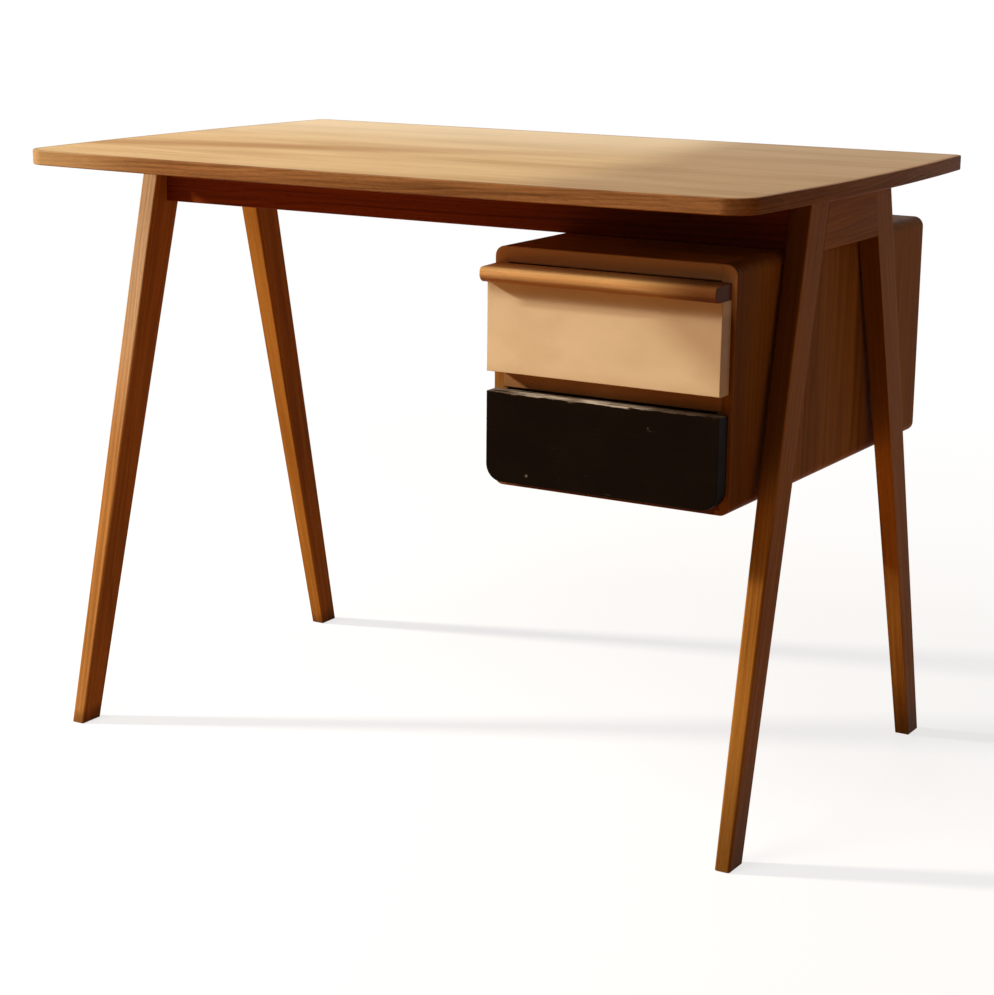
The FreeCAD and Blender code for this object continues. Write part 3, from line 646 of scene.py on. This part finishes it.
@dataclass(frozen=True)
class Steel:
    """Bright steel of a turned screw or a drawn pin."""

    name: str
    body: str = "#B9B4AB"
    dull: str = "#7C746A"

    def build(self) -> Material:
        """Make the material.

        Returns:
            The finished material.
        """
        graph = Graph(bpy.data.materials.new(self.name))
        add = graph.add
        marks = graph.mottle(graph.place, DULL, 3.0, 0.6)
        colour = add(Step.LAY, add(Step.FADE, marks, 0.35, 0.75), linear(self.body),
                     linear(self.dull))
        gloss = add(Step.FADE, marks, 0.2, 0.8, 0.28, 0.48)
        graph.join(graph.shader, {"Base Color": colour, "Roughness": gloss, "Metallic": 1.0})
        return graph.owner


# ---- workshop: pieces shaped by edit-mode operators ----


class Workpiece:
    """One mesh in the making."""

    def __init__(self, name: str) -> None:
        """Take the primitive that was just added as a new piece.

        Args:
            name: The piece's name.
        """
        self.obj = bpy.context.object
        self.obj.name = name
        self.obj.data.name = name
        bpy.ops.object.transform_apply(location=True, rotation=True, scale=True)

    @classmethod
    def block(cls, name: str, low: Point, high: Point) -> "Workpiece":
        """Add a block between two corners.

        Args:
            name: The piece's name.
            low: The lowest corner.
            high: The highest corner.

        Returns:
            The new piece.
        """
        activate()
        bpy.ops.mesh.primitive_cube_add(size=1.0, scale=metres(*(b - a for a, b in zip(low, high))),
                                        location=metres(*((a + b) / 2 for a, b in zip(low, high))))
        return cls(name)

    def pick(self, kind: Kind, wanted: Test) -> int:
        """Select the parts of the mesh that pass a test, and nothing else.

        Args:
            kind: Whether vertices, edges or faces are picked.
            wanted: A test of a part's middle in millimetres and its normal, or an edge's direction.

        Returns:
            How many were picked.
        """
        if bpy.context.mode != "EDIT_MESH":
            bpy.ops.object.mode_set(mode="EDIT")
        bpy.ops.mesh.select_mode(type=kind.value)
        bpy.ops.mesh.select_all(action="DESELECT")
        mesh = bmesh.from_edit_mesh(self.obj.data)
        mesh.normal_update()
        if kind is Kind.VERT:
            parts = [(v, v.co, v.normal) for v in mesh.verts]
        elif kind is Kind.EDGE:
            ends = [(e, e.verts[0].co, e.verts[1].co) for e in mesh.edges]
            parts = [(e, (a + b) / 2, (b - a).normalized()) for e, a, b in ends]
        else:
            parts = [(f, f.calc_center_median(), f.normal) for f in mesh.faces]
        picked = [part for part, middle, way in parts if wanted(middle / MM, way)]
        for part in picked:
            part.select_set(True)
        mesh.select_flush_mode()
        bmesh.update_edit_mesh(self.obj.data)
        return len(picked)

    def push(self, x: float, y: float, z: float) -> None:
        """Extrude what is picked by this much."""
        bpy.ops.mesh.extrude_region_move(TRANSFORM_OT_translate={"value": metres(x, y, z)})

    def soften(self, width: float, steps: int, wanted: Test) -> None:
        """Round the wanted edges."""
        if self.pick(Kind.EDGE, wanted):
            bpy.ops.mesh.bevel(offset=width * MM, segments=steps, profile=0.5, affect="EDGES",
                               clamp_overlap=True)

    def dress(self, slot: int, wanted: Test) -> None:
        """Give the wanted faces the material of a slot.

        Args:
            slot: The material slot.
            wanted: A test of a face's middle and normal.
        """
        if self.pick(Kind.FACE, wanted):
            self.obj.active_material_index = slot
            bpy.ops.object.material_slot_assign()

    def finish(self, body: Body, slot: str, replaces: Iterable[str] = (),
               material: Material | None = None) -> None:
        """Shade the piece, give it its material and let it ride on its body.

        Args:
            body: The body that it moves with.
            slot: Not used.
            replaces: The nodes that it stands for.
            material: Its material, or none where its slots are already filled.
        """
        if bpy.context.mode == "EDIT_MESH":
            bpy.ops.mesh.select_all(action="SELECT")
            bpy.ops.mesh.normals_make_consistent(inside=False)
            bpy.ops.object.mode_set(mode="OBJECT")
        activate(self.obj)
        bpy.ops.object.shade_smooth_by_angle(angle=math.radians(50))
        even = self.obj.modifiers.new("even_shading", "WEIGHTED_NORMAL")
        even.keep_sharp = True
        bpy.ops.object.modifier_apply(modifier=even.name)
        if material:
            self.obj.data.materials.append(material)
        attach(self.obj, body.value)
        for node in replaces:
            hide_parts(node)
        faces = len(self.obj.data.polygons)
        log.info("%s: %d faces, rides on %s", self.obj.name, faces, body.value)


def dress_node(node: str, material: Material) -> None:
    """Give a carried-over CAD node its material.

    Args:
        node: The node's name.
        material: The material.
    """
    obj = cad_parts[node]
    if not obj.material_slots:
        obj.data.materials.append(material)
    for slot in obj.material_slots:
        slot.material = material
    log.info("%s: dressed in %s", node, material.name)


# ---- the desk's sub-assemblies ----


@dataclass
class Tabletop:
    """The bowed top: a veneered board with a solid lipping round its edge."""

    half_width: float = 502.0
    front: float = -326.0
    back: float = 326.0
    low: float = 732.0
    high: float = 750.0
    bow_front: float = 17.0
    bow_side: float = 14.0
    front_corner: float = 35.0
    rear_corner: float = 12.0
    # how far along the edges a corner's rounding starts, as a share of its radius
    corner_start: float = 0.87
    edge_round: float = 1.5
    lipping: float = 5.0

    def outline(self) -> Workpiece:
        """Draw the outline by spinning its bowed sides about their centres, and fill it.

        Returns:
            The outline, as one flat face.
        """
        corner_x = self.half_width - self.bow_side
        corner_y = self.front + self.bow_front
        reach = self.back - corner_y
        front_radius = (corner_x ** 2 + self.bow_front ** 2) / (2 * self.bow_front)
        side_radius = (reach ** 2 / 4 + self.bow_side ** 2) / (2 * self.bow_side)
        side_turn = 2 * math.asin(reach / 2 / side_radius)
        side_centre = ((corner_y + self.back) / 2, self.low)
        activate()
        bpy.ops.mesh.primitive_plane_add(size=2 * MM,
                                         location=metres(1 - corner_x, 1 + corner_y, self.low))
        piece = Workpiece("tabletop_board")
        piece.pick(Kind.VERT, lambda at, way: at.x > 0.5 - corner_x or at.y > corner_y + 0.5)
        bpy.ops.mesh.delete(type="VERT")
        piece.pick(Kind.VERT, lambda at, way: True)
        front_turn = 2 * math.asin(corner_x / front_radius)
        front = (24, front_turn, (0.0, self.front + front_radius, self.low))
        right = (16, side_turn, (self.half_width - side_radius, *side_centre))
        left = (16, side_turn, (side_radius - self.half_width, *side_centre))
        for arc in (front, right, left):
            if arc is left:
                # the rear edge is straight
                piece.push(-2 * corner_x, 0.0, 0.0)
            steps, turn, centre = arc
            # with no window a positive spin runs clockwise
            bpy.ops.mesh.spin(steps=steps, angle=-turn, center=metres(*centre), axis=(0, 0, 1))
        bpy.ops.mesh.select_all(action="SELECT")
        bpy.ops.mesh.remove_doubles(threshold=0.01 * MM)
        bpy.ops.mesh.edge_face_add()
        for radius, y in ((self.front_corner, corner_y), (self.rear_corner, self.back)):
            piece.pick(Kind.VERT,
                       lambda at, way: abs(at.y - y) < 0.5 and abs(abs(at.x) - corner_x) < 0.5)
            bpy.ops.mesh.bevel(offset=radius * self.corner_start * MM, segments=12,
                               affect="VERTICES")
        return piece

    def build(self, veneer: Material, lipping: Material, side_lipping: Material) -> None:
        """Raise the outline to a board, round its arrises and mark off the lipping.

        Args:
            veneer: The material of the upper and lower faces.
            lipping: The strips along the front and rear edges.
            side_lipping: The strips along the sides, whose grain runs front to back.
        """
        piece = self.outline()
        piece.pick(Kind.FACE, lambda at, way: True)
        piece.push(0.0, 0.0, self.high - self.low)
        bpy.ops.mesh.select_all(action="SELECT")
        bpy.ops.mesh.normals_make_consistent(inside=False)
        piece.soften(self.edge_round, 3, lambda at, way: abs(way.z) < 0.1 and
                     min(abs(at.z - self.low), abs(at.z - self.high)) < 0.01)
        for level in (self.low, self.high):
            piece.pick(Kind.FACE, lambda at, way: abs(way.z) > 0.99 and abs(at.z - level) < 0.01)
            bpy.ops.mesh.inset(thickness=self.lipping * MM)
        for material in (lipping, veneer, side_lipping):
            piece.obj.data.materials.append(material)
        strip = self.half_width - self.bow_side - self.lipping - 1
        piece.dress(2, lambda at, way: abs(at.x) > strip and abs(at.y) < self.back - 8)
        piece.dress(1, lambda at, way: abs(way.z) > 0.99 and max(abs(at.x), abs(at.y)) < 150)
        piece.finish(Body.DESK, "top_veneer", ["tabletop"])


@dataclass
class AFrames:
    """Two pairs of legs that taper, spread and lean, and the rails that tie them."""

    centre: float = 18.5
    head_x: float = 457.0
    lean: float = 10.5
    head_reach: float = 91.0
    foot_reach: float = 272.0
    height: float = 732.0
    head: Span = (25.5, 52.0)
    foot: Span = (18.5, 34.0)
    outer_round: float = 3.0
    inner_round: float = 0.8
    foot_round: float = 1.5

    def leg(self, name: str, side: int, face: int, wood: Material) -> None:
        """Taper a block into one leg.

        Args:
            name: The node that the leg stands for.
            side: Minus one for the left frame, one for the right.
            face: Minus one for a front leg, one for a rear leg.
            wood: Its wood, with the grain along the leg.
        """
        foot_x = side * (self.head_x + self.lean)
        foot_y = self.centre + face * self.foot_reach
        half = (self.foot[0] / 2, self.foot[1] / 2)
        piece = Workpiece.block(name + "_wood", (foot_x - half[0], foot_y - half[1], 0.0),
                                (foot_x + half[0], foot_y + half[1], self.height))
        piece.pick(Kind.FACE, lambda at, way: way.z > 0.9)
        grow = (self.head[0] / self.foot[0], self.head[1] / self.foot[1], 1.0)
        bpy.ops.transform.resize(value=grow, center_override=metres(foot_x, foot_y, self.height))
        back = face * (self.head_reach - self.foot_reach)
        bpy.ops.transform.translate(value=metres(-side * self.lean, back, 0.0))
        middle = self.centre + face * (self.head_reach + self.foot_reach) / 2
        for width, steps, outward, beyond in ((self.outer_round, 5, face, 0),
                                              (self.inner_round, 2, -face, 15)):
            piece.soften(width, steps, lambda at, way: abs(way.z) > 0.8
                         and outward * (at.y - middle) > beyond)
        piece.soften(self.foot_round, 2, lambda at, way: at.z < 0.1)
        piece.finish(Body.DESK, "frame_wood", [name], wood)

    def build(self) -> None:
        """Make the four legs and dress the rails and corner blocks."""
        # pale tones, shown as a painted sheen on the front left leg's upper front
        painted_sheen = ("#C9AD8E", "#B89976", "#967956")
        tones = ("#B07B37", "#9F6A2A", "#83501C")
        plain = "#FFFFFF"
        # name, side, face, tones, tint kept off the painted sheen, how high the foot is darkened,
        # and the share of painted shade on the upper front
        legs = (("front_left_leg", -1, -1, painted_sheen, "#EEC88E", 26.0, 0.0),
                ("rear_left_leg", -1, 1, tones, plain, 26.0, 0.0),
                ("front_right_leg", 1, -1, tones, plain, 200.0, 0.7),
                ("rear_right_leg", 1, 1, tones, plain, 90.0, 0.5))
        for i, (name, side, face, shades, tint_off_sheen, scuff, shaded) in enumerate(legs):
            back = face * (self.head_reach - self.foot_reach)
            way = Vector((-side * self.lean, back, self.height)).normalized()
            # Oiled teak, planed: straight, close grain along the leg, with a low sheen
            self.leg(name, side, face, LegWood(
                f"oiled_teak_{name}", *shades, along=tuple(way), ring_mm=5.5,
                heart=(70.0 + 9 * i, 120.0 - 14 * i), tilt=0.8, rings=0.3, streaks=0.3, fibre=0.15,
                pores=0.2, roughness=0.42, specular=0.02, seed=3.7 * i + 1.3, scuff_mm=scuff,
                shaded=shaded, tint_off_sheen=tint_off_sheen).build())
        for i, name in enumerate(("left_side_rail", "right_side_rail")):
            # The same oiled teak, with its grain front to back
            dress_node(name, Wood(
                f"oiled_teak_{name}", *tones, along=Grain.FRONT_TO_BACK.value, ring_mm=6.0,
                heart=(40.0, 900.0), roughness=0.42, specular=0.015, seed=11.0 + i).build())
        for i, name in enumerate(("front_rail", "rear_rail")):
            # Teak stained dark red-brown: the stain sinks into the pores and evens out the rings
            dress_node(name, Wood(
                f"stained_teak_{name}", "#85401A", "#743512", "#58250B", specular=0.03,
                ring_mm=6.5, heart=(50.0, 850.0), rings=0.35, seed=21.0 + 2 * i).build())
        # Planed teak that was never oiled: dull and even
        block = Wood("planed_teak_blocks", "#8A5328", "#74421F", "#552C12", ring_mm=4.5,
                     seed=31.0).build()
        for name in ("front_left", "front_right", "rear_left", "rear_right"):
            dress_node(name + "_corner_block", block)


@dataclass
class Casing:
    """The box that hangs under the rails, its runners and stops."""

    left: float = 142.25
    right: float = 442.25
    low: float = 394.0
    high: float = 670.0
    back: float = 321.5
    pin_radius: float = 1.6
    pin_length: float = 1.2
    pin_inset: float = 14.0

    def build(self) -> None:
        """Dress the boards with their grain, and pin the back on."""
        tones = ("#AD7A3C", "#9F6C32", "#835422")
        # the paler tone of the painted light on the front edges
        pale = "#DDB284"
        # the front edges of the boards end here, on Y, and have a tone of their own: painted light
        # on the top and the upper sides, painted shade on the bottom, and a greyer tone on the
        # divider
        edge = (1, -226.2, -225.8)
        # painted shade: the sides darken toward the front and on their front edges, where the legs
        # shade them
        front_shade = Mark("#50290F", ((1, -235.0, -120.0, 0.65, 0.0), (*edge, 0.6, 1.0)))
        # painted light: paler front edges on the upper sides
        upper = Mark(pale, ((*edge, 0.85, 0.0), (2, 600.0, 655.0, 0.0, 1.0)))
        for name, heart, seed in (("casing_left_side", (310.0, 40.0), 41.0),
                                  ("casing_right_side", (-310.0, 55.0), 47.0)):
            # Teak veneer on board, oiled: upright grain in soft streaks
            dress_node(name, Wood(
                f"teak_veneer_{name}", *tones, along=Grain.UPRIGHT.value, ring_mm=11.0, heart=heart,
                tilt=1.5, streaks=0.35, roughness=0.46, specular=0.015, seed=seed,
                marks=(front_shade, upper)).build())
        # darker tones for the bottom board, as painted shade below the drawer fronts
        deep = ("#7A4C26", "#663C1C", "#4C2B12")
        for name, shades, seed, tone in (("casing_top", tones, 51.0, pale),
                                         ("casing_bottom", deep, 53.0, deep[1]),
                                         ("casing_divider", tones, 57.0, "#9E734A")):
            # The same veneer, with its grain across the desk
            dress_node(name, Wood(
                f"teak_veneer_{name}", *shades, ring_mm=9.0, roughness=0.46, specular=0.015,
                seed=seed, marks=(Mark(tone, ((*edge, 0.85, 0.0),)),)).build())
        # Birch plywood, peeled and unfinished: broad pale figure, dull
        dress_node("casing_back", Plywood(
            "birch_plywood_back", "#C9A472", "#B98F5E", "#8E6439", along=Grain.UPRIGHT.value,
            ring_mm=16.0, heart=(700.0, 200.0), seed=61.0).build())
        # Waxed beech: pale, close-grained, rubbed smooth where the drawers slide
        beech = Wood(
            "waxed_beech", "#D5B07E", "#C39A67", "#9E7445", along=Grain.FRONT_TO_BACK.value,
            ring_mm=3.5, rings=0.25, pores=0.15, roughness=0.35, seed=71.0).build()
        for name in ("upper_left_runner", "upper_right_runner", "lower_left_runner",
                     "lower_right_runner", "drawer_stops"):
            dress_node(name, beech)
        self.pin_back()

    def pin_back(self) -> None:
        """Tack the back round its edge with flat-headed pins: one is turned, and then copied."""
        inset = self.pin_inset
        xs = [self.left + inset + (self.right - self.left - 2 * inset) * i / 3 for i in range(4)]
        zs = [self.low + inset + (self.high - self.low - 2 * inset) * i / 3 for i in range(4)]
        places = [(x, z) for x in xs for z in zs if x in (xs[0], xs[-1]) or z in (zs[0], zs[-1])]
        first_x, first_z = places[0]
        activate()
        bpy.ops.mesh.primitive_cylinder_add(
            vertices=16, radius=self.pin_radius * MM, depth=self.pin_length * MM,
            rotation=(math.pi / 2, 0.0, 0.0), location=metres(first_x, self.back - 0.35, first_z))
        piece = Workpiece("back_panel_pins")
        piece.soften(0.25, 2, lambda at, way: at.y > self.back)
        for x, z in places[1:]:
            piece.pick(Kind.VERT, lambda at, way: max(abs(at.x - first_x), abs(at.z - first_z)) < 3)
            bpy.ops.mesh.duplicate_move(
                TRANSFORM_OT_translate={"value": metres(x - first_x, 0.0, z - first_z)})
        bpy.ops.object.mode_set(mode="OBJECT")
        # Drawn steel wire with a flattened head: bright, with dull marks
        piece.finish(Body.DESK, "screw_steel", material=Steel("drawn_steel_pins").build())


@dataclass
class Drawer:
    """One drawer: its painted front on a dovetailed box."""

    name: str
    body: Body
    low: float
    high: float
    slot: str
    paint: Paint
    left: float = 146.25
    right: float = 438.25
    front: float = -252.5
    back: float = -230.5
    corner: float = 0.0
    arris: float = 1.2
    seed: float = 81.0

    def build(self) -> None:
        """Shape and paint the front, and dress the box behind it."""
        box = self.box_wood()
        piece = Workpiece.block(f"{self.name}_drawer_panel", (self.left, self.front, self.low),
                                (self.right, self.back, self.high))
        if self.corner:
            piece.soften(self.corner, 12, lambda at, way: abs(way.y) > 0.9 and at.z < self.low + 1)
        piece.soften(self.arris, 3, lambda at, way: at.y < self.front + 0.01)
        for material in (self.paint.build(), box):
            piece.obj.data.materials.append(material)
        # the back of the front is left as bare wood inside the drawer
        piece.dress(1, lambda at, way: way.y > 0.9)
        piece.finish(self.body, self.slot, [f"{self.name}_drawer_front"])

    def box_wood(self) -> Material:
        """Dress the box's boards.

        Returns:
            The wood of its sides.
        """
        # Planed beech without varnish: pale, close-grained and dull
        plain = {"ring_mm": 5.0, "rings": 0.35, "pores": 0.15, "roughness": 0.55}
        tones = ("#D9B987", "#C9A370", "#A67C4B")
        sides = Wood(f"planed_beech_{self.name}_sides", *tones, along=Grain.FRONT_TO_BACK.value,
                     heart=(30.0, 600.0), seed=self.seed, **plain).build()
        ends = Wood(f"planed_beech_{self.name}_back", *tones, heart=(20.0, 560.0),
                    seed=self.seed + 3, **plain).build()
        # Birch plywood, peeled and unfinished: broad pale figure, dull
        sheet = Plywood(f"birch_plywood_{self.name}", "#CDAA78", "#BD9463", "#93693D", layer_axis=2,
                        ring_mm=15.0, heart=(300.0, 480.0), seed=self.seed + 5).build()
        for part, material in (("left_side", sides), ("right_side", sides), ("back", ends),
                               ("bottom", sheet)):
            dress_node(f"{self.name}_drawer_{part}", material)
        return sides


@dataclass
class Handle:
    """The rounded wooden strip along the upper drawer."""

    left: float = 146.25
    right: float = 438.25
    nose: float = -270.0
    back: float = -230.5
    low: float = 633.0
    high: float = 651.3
    slope: float = 1.0
    nose_top: float = 5.8
    nose_low: float = 9.5
    end_round: float = 0.8

    def build(self) -> None:
        """Slope the strip's top, round its nose and soften its ends."""
        piece = Workpiece.block("handle_strip", (self.left, self.nose, self.low),
                                (self.right, self.back, self.high))
        piece.pick(Kind.EDGE, lambda at, way: abs(way.x) > 0.9 and at.y < self.nose + 1
                   and at.z > self.high - 1)
        bpy.ops.transform.translate(value=metres(0.0, 0.0, -self.slope))
        piece.soften(self.nose_top, 8, lambda at, way: abs(way.x) > 0.9 and at.y < self.nose + 0.1
                     and at.z > self.high - self.slope - 1)
        piece.soften(self.nose_low, 6, lambda at, way: abs(way.x) > 0.9 and at.y < self.nose + 0.1
                     and at.z < self.low + 0.1)
        piece.soften(self.end_round, 2, lambda at, way: min(abs(at.x - self.left),
                                                            abs(at.x - self.right)) < 0.01)
        # painted shade: dark toward the right end, on the end itself and under the nose
        marked = Mark("#5A2F12", ((0, 300.0, 425.0, 0.0, 0.93), (0, 437.2, 438.2, 0.0, 1.0),
                                (2, 638.5, 645.0, 0.5, 0.0)), Step.LARGER)
        # Polished teak: golden, with a hand-rubbed gloss on the nose
        wood = Wood("polished_teak_handle", "#E4B57A", "#D6A466", "#BA864A", ring_mm=4.5,
                    heart=(250.0, 640.0), tilt=0.6, rings=0.3, streaks=0.25, pores=0.2,
                    roughness=0.36, specular=0.03, seed=91.0, marks=(marked,))
        piece.finish(Body.UPPER, "handle_wood", ["upper_drawer_handle"], wood.build())


@dataclass
class Screws:
    """Countersunk slotted wood screws that hold the top and the casing."""

    length: float = 35.0
    tip: float = 4.0
    shank: float = 2.0
    head: float = 3.8
    head_depth: float = 2.6
    rim: float = 0.4
    point: float = 0.25
    slot_width: float = 1.0
    slot_depth: float = 0.9

    def blank(self) -> Workpiece:
        """Turn one screw with its head down on the origin, and cut its slot.

        Returns:
            The screw.
        """
        activate()
        bpy.ops.mesh.primitive_cylinder_add(vertices=24, radius=self.head * MM, depth=self.rim * MM,
                                            location=metres(0.0, 0.0, self.rim / 2))
        piece = Workpiece("screw_blank")
        radius = self.head
        for rise, end in ((self.head_depth - self.rim, self.shank),
                          (self.length - self.tip - self.head_depth, self.shank),
                          (self.tip, self.point)):
            piece.pick(Kind.FACE, lambda at, way: way.z > 0.9)
            piece.push(0.0, 0.0, rise)
            if end != radius:
                bpy.ops.transform.resize(value=(end / radius, end / radius, 1.0))
            radius = end
        for side in (-1, 1):
            piece.pick(Kind.FACE, lambda at, way: at.z < self.rim - 0.05)
            bpy.ops.mesh.bisect(plane_co=(0.0, side * self.slot_width * MM / 2, 0.0),
                                plane_no=(0.0, 1.0, 0.0))
        piece.pick(Kind.FACE, lambda at, way: way.z < -0.9 and abs(at.y) < self.slot_width / 2)
        piece.push(0.0, 0.0, self.slot_depth)
        bpy.ops.object.mode_set(mode="OBJECT")
        return piece

    def group(self, node: str, low: float, places: Iterable[Span], steel: Material) -> None:
        """Set a copy of the screw at each place.

        Args:
            node: The node that the group stands for.
            low: The height of the heads.
            places: The X and Y of each screw.
            steel: The material.
        """
        blank = self.blank()
        copies = []
        for i, (x, y) in enumerate(places):
            copy = blank.obj.copy()
            copy.data = blank.obj.data.copy()
            bpy.context.scene.collection.objects.link(copy)
            # each screw stops at its own turn
            turn = Matrix.Rotation(0.7 + 1.9 * i, 4, "Z")
            copy.data.transform(Matrix.Translation(metres(x, y, low)) @ turn)
            copies.append(copy)
        bpy.data.objects.remove(blank.obj)
        activate(*copies)
        bpy.ops.object.join()
        Workpiece(node + "_slotted").finish(Body.DESK, "screw_steel", [node], steel)

    def build(self) -> None:
        """Make the screws of the top and of the casing."""
        # Turned steel, unplated: bright, with dull marks
        steel = Steel("turned_steel_screws").build()
        spots = ((168.82, -75.5), (168.82, 112.5), (428.15, -48.5), (428.15, 85.5))
        top = [(side * x, y) for side in (-1, 1) for x, y in spots]
        casing = [(x, y) for y in (-75.5, 112.5) for x in (197.25, 387.25)]
        self.group("tabletop_screws", 709.0, top, steel)
        self.group("casing_screws", 652.0, casing, steel)


# ---- studio ----


@dataclass
class Studio:
    """Pale floor, soft lamps and the camera of the photograph. Metres."""

    eye: Point = (1.4694655, -2.4352028, 0.9987962)
    right: Point = (0.85667239, 0.51578318, 0.00895087)
    up: Point = (-0.12855888, 0.1966573, 0.97200747)
    lens: float = 82.80925
    target: Point = (0.0, 0.0, 0.45)
    floor_size: float = 24.0
    # how far out the floor's shadows fade into the white
    shadow_ends: Span = (0.7, 2.4)
    white: str = "#FFFFFF"

    def camera(self) -> None:
        """Stand the camera where the photograph was taken."""
        data = bpy.data.cameras.new("photograph_camera")
        data.sensor_fit = "HORIZONTAL"
        data.sensor_width = 36.0
        data.lens = self.lens
        camera = bpy.data.objects.new("photograph_camera", data)
        right, up = Vector(self.right), Vector(self.up)
        turn = Matrix((right, up, right.cross(up))).transposed().to_4x4()
        camera.matrix_world = Matrix.Translation(self.eye) @ turn
        bpy.context.scene.collection.objects.link(camera)
        bpy.context.scene.camera = camera

    def lamp(self, name: str, place: Point, size: float, power: float, tint: str) -> None:
        """Hang a square soft lamp that looks at the desk.

        Args:
            name: The lamp's name.
            place: Where it hangs.
            size: Its side.
            power: Its power in watts.
            tint: The colour of its light.
        """
        data = bpy.data.lights.new(name, "AREA")
        data.size = size
        data.energy = power
        data.color = linear(tint)[:3]
        lamp = bpy.data.objects.new(name, data)
        lamp.location = place
        # a mirror in the finish shows the white room, not the lamps
        lamp.visible_glossy = False
        away = Vector(self.target) - Vector(place)
        lamp.rotation_euler = away.to_track_quat("-Z", "Y").to_euler()
        bpy.context.scene.collection.objects.link(lamp)

    def floor(self) -> None:
        """Lay a pale floor that shows white and keeps a soft shadow."""
        activate()
        bpy.ops.mesh.primitive_plane_add(size=self.floor_size, location=(0.0, 0.0, -0.0005))
        floor = bpy.context.object
        floor.name = "studio_floor"
        graph = Graph(bpy.data.materials.new("matt_paper_floor"))
        add = graph.add
        seen = graph.seen()
        # the boards of a room throw back less light, and warmer, than the white that is seen
        colour = add(Step.LAY, seen, linear("#B0783F"), linear("#FAFAFA"))
        graph.join(graph.shader, {"Base Color": colour, "Roughness": 0.9})
        far = add(Step.FADE, add(Step.LENGTH, graph.place), *self.shadow_ends, 0.75, 1.0)
        mix = add(Step.MIX_SHADERS, add(Step.TIMES, seen, far), graph.shader.outputs[0],
                  add(Step.GLOW, linear(self.white), 1.0))
        out = next(node for node in graph.tree.nodes if node.type == "OUTPUT_MATERIAL")
        graph.join(out, {"Surface": mix})
        floor.data.materials.append(graph.owner)

    def world(self) -> None:
        """Fill the room with soft light behind a white backdrop."""
        graph = Graph(bpy.data.worlds.new("studio_air"), "BACKGROUND")
        bpy.context.scene.world = graph.owner
        seen = graph.seen()
        graph.join(graph.shader, {
            "Color": graph.add(Step.LAY, seen, linear("#FFDDB8"), linear(self.white)),
            "Strength": graph.add(Step.FADE, seen, 0.0, 1.0, 0.1, 1.0)})

    def build(self) -> None:
        """Set up the whole studio."""
        self.camera()
        self.floor()
        self.world()
        self.lamp("window_lamp", (-4.09, -1.68, 2.66), 0.4, 420.0, "#FFF6EA")
        self.lamp("sky_fill", (-0.9, -2.4, 3.7), 1.8, 85.0, "#FFF6EC")
        self.lamp("back_fill", (-1.1, 3.6, 1.3), 1.8, 30.0, "#FFF2E2")
        bpy.context.scene.view_settings.view_transform = "Standard"


def main() -> None:
    """Build the desk's pieces in order, then the studio."""
    logging.basicConfig(level=logging.INFO, format="%(name)s: %(message)s")
    # Teak veneer, sliced and lacquered: fine straight grain in pale honey, with painted shade on the
    # right end, a painted shadow band across the left and a painted sheen toward the rear
    veneer = TopVeneer("lacquered_teak_veneer", "#C8AA7C", "#BC9C6E", "#A58453", ring_mm=9.0,
                       heart=(-420.0, 1500.0), tilt=1.2, rings=0.2, streaks=0.22, fibre=0.1,
                       pores=0.15, roughness=0.55, specular=0.06, seed=5.0).build()
    # Solid teak lipping: the same wood, oiled darker by hands along the edge, and paler toward the
    # left end as painted light
    rubbed = Mark("#A89468", ((0, -500.0, -240.0, 0.5, 0.0),))
    lippings = [Wood(f"oiled_teak_{name}", "#A37346", "#8A5F38", "#684426", along=grain.value,
                     ring_mm=5.0, heart=(200.0, 760.0), rings=0.4, roughness=0.42, specular=0.015,
                     seed=9.0, marks=(rubbed,)).build()
                for name, grain in (("lipping", Grain.ACROSS_DESK),
                                    ("side_lipping", Grain.FRONT_TO_BACK))]
    Tabletop().build(veneer, *lippings)
    AFrames().build()
    Casing().build()
    # Satin enamel, rolled on: even and smooth, yellowed by age, with painted shadow under the handle
    # and at the upper right
    cream = HandledPaint("satin_cream_enamel", "#D6C09A", "#CCB58E", specular=0.12)
    # Old brushed enamel: dull near-black, rubbed through to primer and board on its upper edge
    black = WornPaint("worn_black_enamel", "#140B05", "#0E0703", roughness=0.5, specular=0.03)
    Drawer("upper", Body.UPPER, 530.0, 633.0, "cream_paint", cream).build()
    Drawer("lower", Body.LOWER, 403.0, 507.3, "black_paint", black, corner=20.0, seed=87.0).build()
    Handle().build()
    Screws().build()
    Studio().build()


if __name__ == "__main__":
    main()
